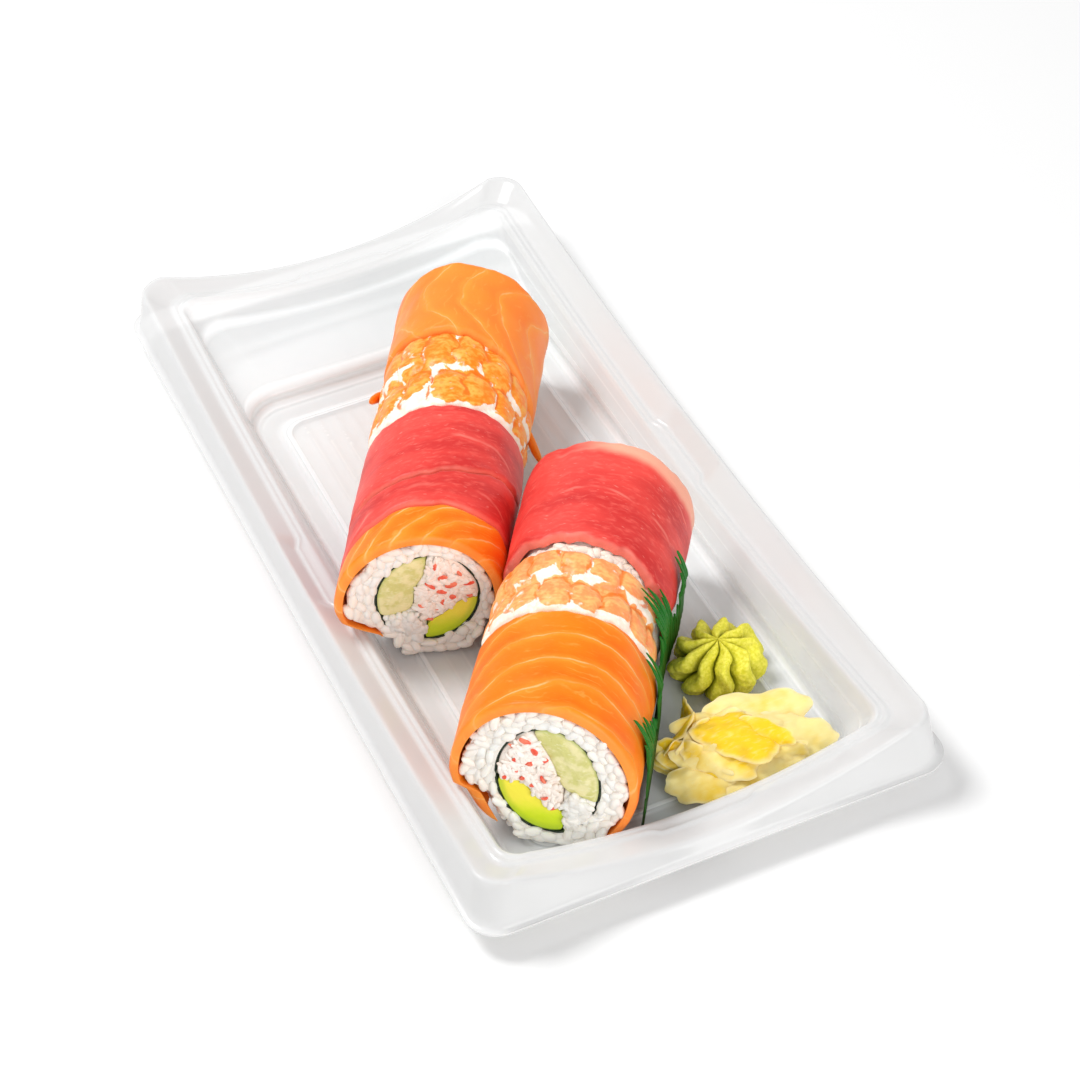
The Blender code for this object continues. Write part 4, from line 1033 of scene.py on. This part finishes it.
def salmonFinish(cut):
    lines = cut["lines"]
    meat = Finish("salmon_" + cut["name"], roughness=0.33, specular=0.22, scatter=0.08,
                  scatterReach=(1.0, 0.4, 0.2))
    place = meat.mark("place")
    around, along, edge = (meat.mark("place", axis) for axis in "XYZ")
    cos, sin = math.cos(math.radians(lines["slant"])), math.sin(math.radians(lines["slant"]))
    warp = meat.grain(17, 2, place) - 0.5
    fine = meat.grain(2.2, 2, place) - 0.5
    # Flakes of muscle between thin curved lines of fat
    main = around * cos + along * sin
    side = along * cos - around * sin - lines["across"]
    curved = main + side * side * lines["bend"] + warp * (4.2 * lines["warp"]) + fine * 0.8
    flake = (curved / lines["spacing"]).fraction()
    fromLine = (0.5 - abs(flake - 0.5)) * lines["spacing"]
    fat = 1 - fromLine.step(0.05, 0.42)
    strength = meat.grain(8, 1, place).step(0.40, 0.60)
    thread = ((main + side * 0.35 + warp * 16 + fine * 2.0) / (lines["spacing"] * 0.31)).fraction()
    threads = (1 - (abs(thread - 0.5) * 2).step(0.0, 0.30)) * meat.grain(5, 2, place).step(0.46, 0.66)
    glow = 1 - fromLine.step(0.2, 2.2)
    deep = meat.mix(meat.grain(14, 2, place).step(0.3, 0.7), (0.95, 0.145, 0.002), (1.0, 0.20, 0.003))
    body = meat.mix(flake ** 1.5 * 0.65, deep, (1.0, 0.27, 0.014))
    body = meat.mix(glow * 0.35, body, (1.0, 0.36, 0.035))
    body = meat.mix(threads * 0.45, body, (1.0, 0.40, 0.08))
    body = meat.mix(fat * (0.10 + 0.60 * strength), body, (1.0, 0.54, 0.22))
    fibre = meat.grain(0.7, 2, place, stretch=(cos + 0.15, sin + 0.15, 1.0))
    body = meat.mix(fibre.step(0.55, 0.8) * 0.18, body, (1.0, 0.40, 0.06))
    # Paler along the slice's front and back edges: painted highlight on its rounded edge
    body = meat.mix((1 - edge.step(0.2, 1.4)) * 0.4, body, (1.0, 0.42, 0.10))
    body = meat.mix(lines["pale"], body, (1.0, 0.36, 0.09))
    return meat.done(color=body, roughness=0.26 + 0.18 * fibre + 0.06 * strength,
                     normal=meat.bump(fat * -0.6 + fibre * 0.35, 0.25, 0.5))


def tunaFinish(cut):
    meat = Finish("tuna_" + cut["name"], roughness=0.36, specular=0.25, scatter=0.06,
                  scatterReach=(1.0, 0.25, 0.2))
    place = meat.mark("place")
    around, along, edge = (meat.mark("place", axis) for axis in "XYZ")
    slow = meat.grain(16, 2, place, stretch=(0.5, 1.6, 1.0))
    body = meat.mix(slow.step(0.3, 0.7), (0.60, 0.030, 0.028), (0.86, 0.076, 0.060))
    fibre = meat.grain(1.3, 4, place, stretch=(0.5, 1.0, 1.0))
    body = meat.mix(fibre.step(0.45, 0.8) * 0.45, body, (0.98, 0.18, 0.14))
    fleck = meat.grain(0.9, 1, place, stretch=(0.45, 1.3, 1.0)).step(0.68, 0.80)
    body = meat.mix(fleck * 0.4, body, (1.0, 0.42, 0.34))
    seamSpacing = 16.0
    band = (along + 0.012 * around * around + 14.0 * (meat.grain(26, 1, place) - 0.5)) / seamSpacing
    seam = 1 - ((0.5 - abs(band.fraction() - 0.5)) * seamSpacing).step(0.1, 0.8)
    body = meat.mix(seam * meat.grain(9, 1, place).step(0.4, 0.65) * 0.35, body, (1.0, 0.36, 0.28))
    # Paler along the slice's front and back edges: painted highlight on its rounded edge
    body = meat.mix((1 - edge.step(0.1, 1.5)) * 0.45, body, (1.0, 0.36, 0.26))
    if cut["name"] == "tuna_right":  # pale translucent band at its back right edge
        pale = (along - 12.5 - around * 0.05).step(0.0, 3.5) * (1 - (around + 4.0).step(0.0, 14.0))
        body = meat.mix(pale * 0.8, body, (1.0, 0.50, 0.34))
    return meat.done(color=body, roughness=0.30 + 0.2 * fibre,
                     normal=meat.bump(fibre + fleck * 0.5, 0.22, 0.5))


def prawnFinish(cut):
    meat = Finish("prawn_" + cut["name"], roughness=0.35, specular=0.45, scatter=0.08)
    strength = cut["lumps"]["orange"]
    place = meat.mark("place")
    patch, seam = (meat.mark("tint", axis) for axis in "XY")
    ragged = meat.grain(2.6, 3, place) - 0.5
    mottle = meat.grain(1.2, 3, place)
    white = meat.mix(mottle.step(0.4, 0.7), (0.98, 0.82, 0.68), (1.0, 0.92, 0.84))
    cloud = meat.grain(4.5, 2, place)
    orange = meat.mix((mottle * 0.5 + cloud * 0.5).step(0.40, 0.62), (1.0, 0.225, 0.002), (1.0, 0.43, 0.07))
    cover = (patch + ragged * 1.7 + (cloud - 0.5) * (1.5 - strength)).step(0.34, 0.62)
    body = meat.mix(cover * (0.50 + 0.50 * strength), white, orange)
    crease = (seam + ragged * 1.2).step(0.30, 0.70)
    body = meat.mix(crease * (0.25 + 0.65 * strength), body, (0.98, 0.17, 0.001))
    return meat.done(color=body, roughness=0.26 + 0.2 * mottle,
                     normal=meat.bump(mottle + cover * 0.4, 0.22, 0.5))


for cut in slices:
    makeSlice(cut)


# Green paste

paste = {"x": 29.2, "y": -73.6, "radius": 12.3, "height": 12.6, "lobes": 9, "twist": 0.5,
         "widen": 1.06, "deepen": 1.15, "flatten": 0.93,
         "level": (0.0, 0.14, 0.34, 0.56, 0.80, 0.94, 1.0), "spread": (0.86, 1.0, 1.0, 0.86, 0.60, 0.34, 0.0),
         "depth": (0.10, 0.15, 0.20, 0.24, 0.26, 0.22, 0.10), "grain": 0.22}


def makePaste():
    around, levels = 324, 80
    angle = np.linspace(0, math.tau, around, endpoint=False)[None, :]
    level = np.linspace(0, 1, levels)[:, None]
    spreadOut = np.interp(level, paste["level"], paste["spread"])
    depth = np.interp(level, paste["level"], paste["depth"]) * paste["deepen"]
    swirl = angle + 0.13 * np.sin(9 * level + 2 * angle) * smooth(0.15, 0.6, level)
    ridge = np.abs(np.cos(0.5 * paste["lobes"] * swirl)) ** 0.6
    uneven = 1 + 0.03 * np.sin(2 * angle + 1) + 0.02 * np.sin(3 * angle)
    radius = paste["widen"] * paste["radius"] * spreadOut * uneven * (1 - depth + depth * (2 * ridge - 1))
    radius *= 1 + 0.03 * np.sin(14 * level + 3 * np.sin(angle * 3))
    turned = angle + paste["twist"] * level
    tip = 0.17 * paste["height"] * ridge ** 4 * bell(level - 0.62, 0.20)
    z = paste["height"] * level * paste["flatten"] + tip
    z = z - 0.10 * paste["height"] * (1 - ridge) * smooth(0.3, 0.9, level)
    rows = np.stack([radius * np.cos(turned), radius * np.sin(turned), z], -1)
    bottom = rows[:1] * (0.0, 0.0, 1.0)
    grid = np.concatenate([bottom, rows])
    points = grid.reshape(-1, 3)
    faces = gridFaces(len(grid), around, wrapColumns=True)
    amount = paste["grain"] * (0.6 * roughness(points, 0.9, 2) + 0.8 * roughness(points, 2.0, 3))
    fade = smooth(0, 0.08, 1 - level[:, 0]) * smooth(0, 0.05, level[:, 0])  # none at its foot and tip
    amount *= np.concatenate([np.zeros(around), np.repeat(fade, around)])
    points = relieve(points, faces, amount)
    points[:, 2] = np.maximum(points[:, 2], 0.0)
    marks = np.concatenate([np.zeros((1, around)), ridge + 0 * level]).reshape(-1)
    shape = Shape()
    shape.add(points + (paste["x"], paste["y"], foodZ), faces, np.stack([marks, 0 * marks, 0 * marks], -1))
    green = Finish("greenPaste", roughness=0.55, specular=0.35)
    # Darker in the hollows between the lobes: painted shade in the folds of the paste
    hollowShade = 1 - green.mark("place", "X").step(0.25, 0.75)
    speck = green.grain(0.8, 3)
    body = green.mix(speck.step(0.35, 0.7), (0.70, 0.66, 0.036), (0.90, 0.83, 0.11))
    body = green.mix(hollowShade * 0.85, body, (0.34, 0.35, 0.008))
    green.done(color=body, roughness=0.45 + 0.2 * speck, normal=green.bump(speck, 0.3, 0.7))
    makePiece("pasteRosette", shape, "green_paste", green.material)


makePaste()


# Pickled ginger

# Each slice: its middle, two half axes, dome, ruffle and how deep a yellow it has, turning to a painted brown
# shade above 1
ginger = {"x": 17.0, "y": -103.0, "mound": (14, 9.5, 5.4), "sheet": 0.5, "slices": [
    ((27.4, -99.0, 9.4), (13.4, -3.0, -1.5), (3.0, 7.5, 1.5), 1.2, 0.8, 0.30),
    ((33.0, -107.0, 6.4), (10.0, -3.8, -1.7), (3.4, 6.5, 2.2), 1.2, 0.9, 0.05),
    ((21.0, -111.2, 5.4), (13.0, -1.0, 0.5), (-1.0, -5.5, -2.2), 1.4, 0.7, 0.30),
    ((7.0, -109.8, 4.8), (9.5, -3.2, 0.0), (-2.5, -4.6, -1.5), 1.2, 0.7, 0.40),
    ((19.0, -104.2, 10.6), (8.8, -7.0, -1.2), (4.4, 5.4, 1.0), 2.2, 0.25, 1.0),
    ((13.2, -107.8, 8.2), (7.9, -6.0, -0.8), (-3.0, -2.8, -2.8), 1.0, 0.5, 0.55),
    ((9.8, -106.2, 7.8), (6.8, -6.4, -0.9), (-2.4, -2.0, -3.0), 0.8, 0.5, 0.35),
    ((7.0, -104.0, 7.4), (6.8, -6.8, -0.6), (-2.2, -1.8, -3.2), 0.8, 0.5, 0.55),
    ((4.6, -101.6, 7.2), (5.8, -6.4, 0.0), (-2.0, -1.6, -3.2), 0.7, 0.5, 0.75),
    ((2.6, -100.2, 6.2), (4.6, -6.0, 0.0), (-2.0, -1.6, -3.0), 0.7, 0.5, 0.45),
    ((7.0, -96.4, 8.6), (5.6, 3.2, 1.4), (-1.4, 0.8, -3.6), 0.9, 0.6, 0.90),
    ((9.4, -98.8, 9.4), (5.8, 1.8, 0.8), (-1.4, -1.4, -3.2), 0.9, 0.6, 0.50),
    ((11.4, -91.4, 7.4), (1.2, 5.0, 2.4), (0.8, -0.4, 3.6), 0.4, 0.4, 1.25),
    ((14.4, -97.6, 10.4), (9.6, -2.6, 0.6), (1.5, 3.8, 1.5), 1.0, 0.6, 0.45),
    ((25.4, -106.2, 11.0), (6.0, -4.8, -1.1), (2.2, 2.2, 1.9), 0.9, 0.3, 0.85),
    ((26.4, -110.0, 7.4), (8.0, -2.6, -0.6), (1.6, -3.2, -2.2), 1.0, 0.7, 0.35),
]}


def gingerSlice(shape, number, middleAt, alongAxis, acrossAxis, dome, ruffle, tone):
    columns, rows = 56, 34
    u, v = np.meshgrid(np.linspace(-1, 1, columns), np.linspace(-1, 1, rows), indexing="ij")
    discU, discV = u * np.sqrt(1 - 0.5 * v * v), v * np.sqrt(1 - 0.5 * u * u)
    radial = discU ** 2 + discV ** 2
    turn = np.arctan2(discV, discU)
    along, across = np.array(alongAxis, float), np.array(acrossAxis, float)
    normal = np.cross(along, across)
    normal /= np.linalg.norm(normal) * (1 if normal[2] >= 0 else -1)
    frill = ruffle * radial * (np.sin(3 * turn + number) + 0.5 * radial ** 2 * np.sin(8 * turn + 2 * number))
    rim = 1 + 0.09 * np.sin(3 * turn + number) + 0.045 * np.sin(7 * turn + 2 * number)
    rim = rim + 0.012 * np.sin(17 * turn)
    middle = np.array(middleAt) + (along * discU[..., None] + across * discV[..., None]) * rim[..., None]
    wrinkle = roughness(middle, 6.0, number) + 0.35 * roughness(middle * (1.0, 1.6, 1.0), 2.6, number)
    height = dome * (1 - radial) + frill + 0.8 * wrinkle
    thick = ginger["sheet"] * (1 - 0.5 * smooth(0.75, 1.0, radial)) * 0.5
    over = middle + normal * (height + thick)[..., None]
    under = middle + normal * (height - thick)[..., None]
    for face in (over, under):
        face[..., 2] = np.maximum(face[..., 2], foodZ + 0.05)
    shape.sheet(over, under, np.stack([radial, np.full(radial.shape, tone), wrinkle], -1))


def makeGinger():
    shape = Shape()
    around, levels = 72, 26
    angle = np.linspace(0, math.tau, around, endpoint=False)[None, :]
    rise = np.linspace(-math.pi / 2, math.pi / 2, levels)[:, None]
    uneven = 1 + 0.06 * np.sin(3 * angle + 1)
    long, wide, high = ginger["mound"]  # under the slices
    x = ginger["x"] + long * np.cos(rise) * np.cos(angle) * uneven
    y = ginger["y"] + wide * np.cos(rise) * np.sin(angle) * uneven
    z = foodZ + np.maximum(0.0, (np.sin(rise) + 0.35) * high) + 0 * angle
    grid = np.stack([x, y, z], -1)
    grid[..., 2] += 0.6 * roughness(grid, 3.0, 4) * smooth(foodZ, foodZ + 1.5, grid[..., 2])
    # The mound's tone of 1.3 paints it brown: painted shade under the slices
    shape.add(grid, gridFaces(levels, around, wrapColumns=True), (0.2, 1.3, 0))
    for number, spec in enumerate(ginger["slices"]):
        gingerSlice(shape, number, *spec)

    root = Finish("pickledGinger", roughness=0.32, specular=0.35, scatter=0.2, scatterReach=(1.0, 0.8, 0.4))
    rim, tone, fold = (root.mark("place", axis) for axis in "XYZ")
    cloud = root.grain(5, 2)
    fibre = root.grain(1.0, 3, stretch=(0.35, 1.4, 1.0))
    # Deeper yellow in the dips of the wrinkles and brown where the tone passes 1: partly the ginger's own
    # deeper yellow, partly painted shade in folds and under the slices
    yellowAndShade = tone + (cloud - 0.5) * 0.8 - fold * 0.35
    body = root.mix(yellowAndShade.step(0.1, 0.9), (1.0, 0.81, 0.32), (0.95, 0.60, 0.015))
    body = root.mix((yellowAndShade - 1.0).step(0.0, 0.6), body, (0.62, 0.38, 0.03))
    body = root.mix(rim.step(0.7, 1.0) * 0.60, body, (1.0, 0.86, 0.46))
    body = root.mix(fibre.step(0.5, 0.8) * 0.35, body, (1.0, 0.86, 0.42))
    root.done(color=body, roughness=0.25 + 0.2 * fibre, normal=root.bump(fibre, 0.12, 0.4))
    makePiece("gingerPile", shape, "ginger", root.material)


makeGinger()


# Divider leaf

# Its upper edge and foot: places along the right roll, and heights
leaf = {
    "edge": [(-123.8, 5), (-122.2, 13), (-119.5, 22), (-117.8, 29.5), (-116, 37), (-114.2, 26),
             (-112.2, 34), (-110.4, 23), (-108, 28), (-104, 15), (-98, 19), (-96.4, 27.5), (-94.5, 36.5),
             (-93.2, 29), (-91.5, 20), (-84, 23), (-78.5, 31), (-75.8, 39.5), (-74.2, 30), (-72.6, 38),
             (-71, 27), (-69, 33.5), (-66.5, 18), (-60.5, 22), (-54.5, 33), (-53.4, 26), (-52.6, 22)],
    "foot": [(-123.8, 2.2), (-104, 2.2), (-66, 4), (-52.6, 20)],
    "sheet": 0.45, "ribStep": 1.05, "bladeStep": 2.1, "notch": 11.0,
}


def makeLeaf():
    roll = rightRoll
    rows = 40
    edge, foot = np.array(leaf["edge"]), np.array(leaf["foot"])
    place = np.unique(np.concatenate([np.arange(edge[0, 0], edge[-1, 0], leaf["bladeStep"] / 8), edge[:, 0]]))
    nearby = leaf["bladeStep"] * np.linspace(-0.5, 0.5, 5)[:, None]
    top = np.interp(place + nearby, edge[:, 0], edge[:, 1]).max(axis=0)
    low = np.interp(place, foot[:, 0], foot[:, 1])
    blade = np.abs((place / leaf["bladeStep"] + 0.1 * np.sin(place)) % 1.0 - 0.5) * 2
    top = low + (top - low) * 0.98 - np.minimum(leaf["notch"], 0.45 * (top - low)) * blade
    share = np.linspace(0, 1, rows)[None, :]
    z = low[:, None] + (top - low)[:, None] * share - foodZ
    y = place[:, None] + 0 * z
    shift, halfWidth, taller = sectionSizes(roll, y)
    out = underSlice + fishThick + np.where(z < roll["halfHeight"], 0.5, 1.2)
    centre = sectionCentre(roll)
    lift = (z - centre) / (roll["halfHeight"] + taller + out)
    x = np.where(z < centre, shift + halfWidth + out - 1.6 * (1 - z / centre) ** 2,
                 shift + (halfWidth + out) * np.sqrt(np.maximum(0.04, 1 - lift * lift)))
    x = x + 0.1 * (1 + np.sin(1.4 * y)) + 0.07 * np.sin(math.tau * y / leaf["ribStep"])
    z = np.maximum(z, 0.0)
    outer = onTray(roll, np.stack([x + leaf["sheet"], y, z], -1))
    inner = onTray(roll, np.stack([x, y, z], -1))
    shape = Shape()
    shape.sheet(outer, inner, np.stack([y, z, 0 * y], -1))
    finish = Finish("dividerLeaf", roughness=0.42, specular=0.25)
    along, height = finish.mark("place", "X"), finish.mark("place", "Y")
    rib = ((along / leaf["ribStep"]).fraction() - 0.5) * 2
    vein = 1 - abs(rib).step(0.15, 0.75)
    cloud = finish.grain(5, 2)
    # Darker towards its foot and lighter towards its tips: painted shade low down between the roll and the
    # tray
    body = finish.mix((height + 8 * (cloud - 0.5)).step(6, 30), (0.010, 0.040, 0.001), (0.012, 0.17, 0.018))
    body = finish.mix(vein * 0.30, body, (0.06, 0.30, 0.05))
    finish.done(color=body, roughness=0.34 + 0.2 * cloud, normal=finish.bump(vein, 0.15, 0.6))
    makePiece("leafBlades", shape, "divider_leaf", finish.material)


makeLeaf()
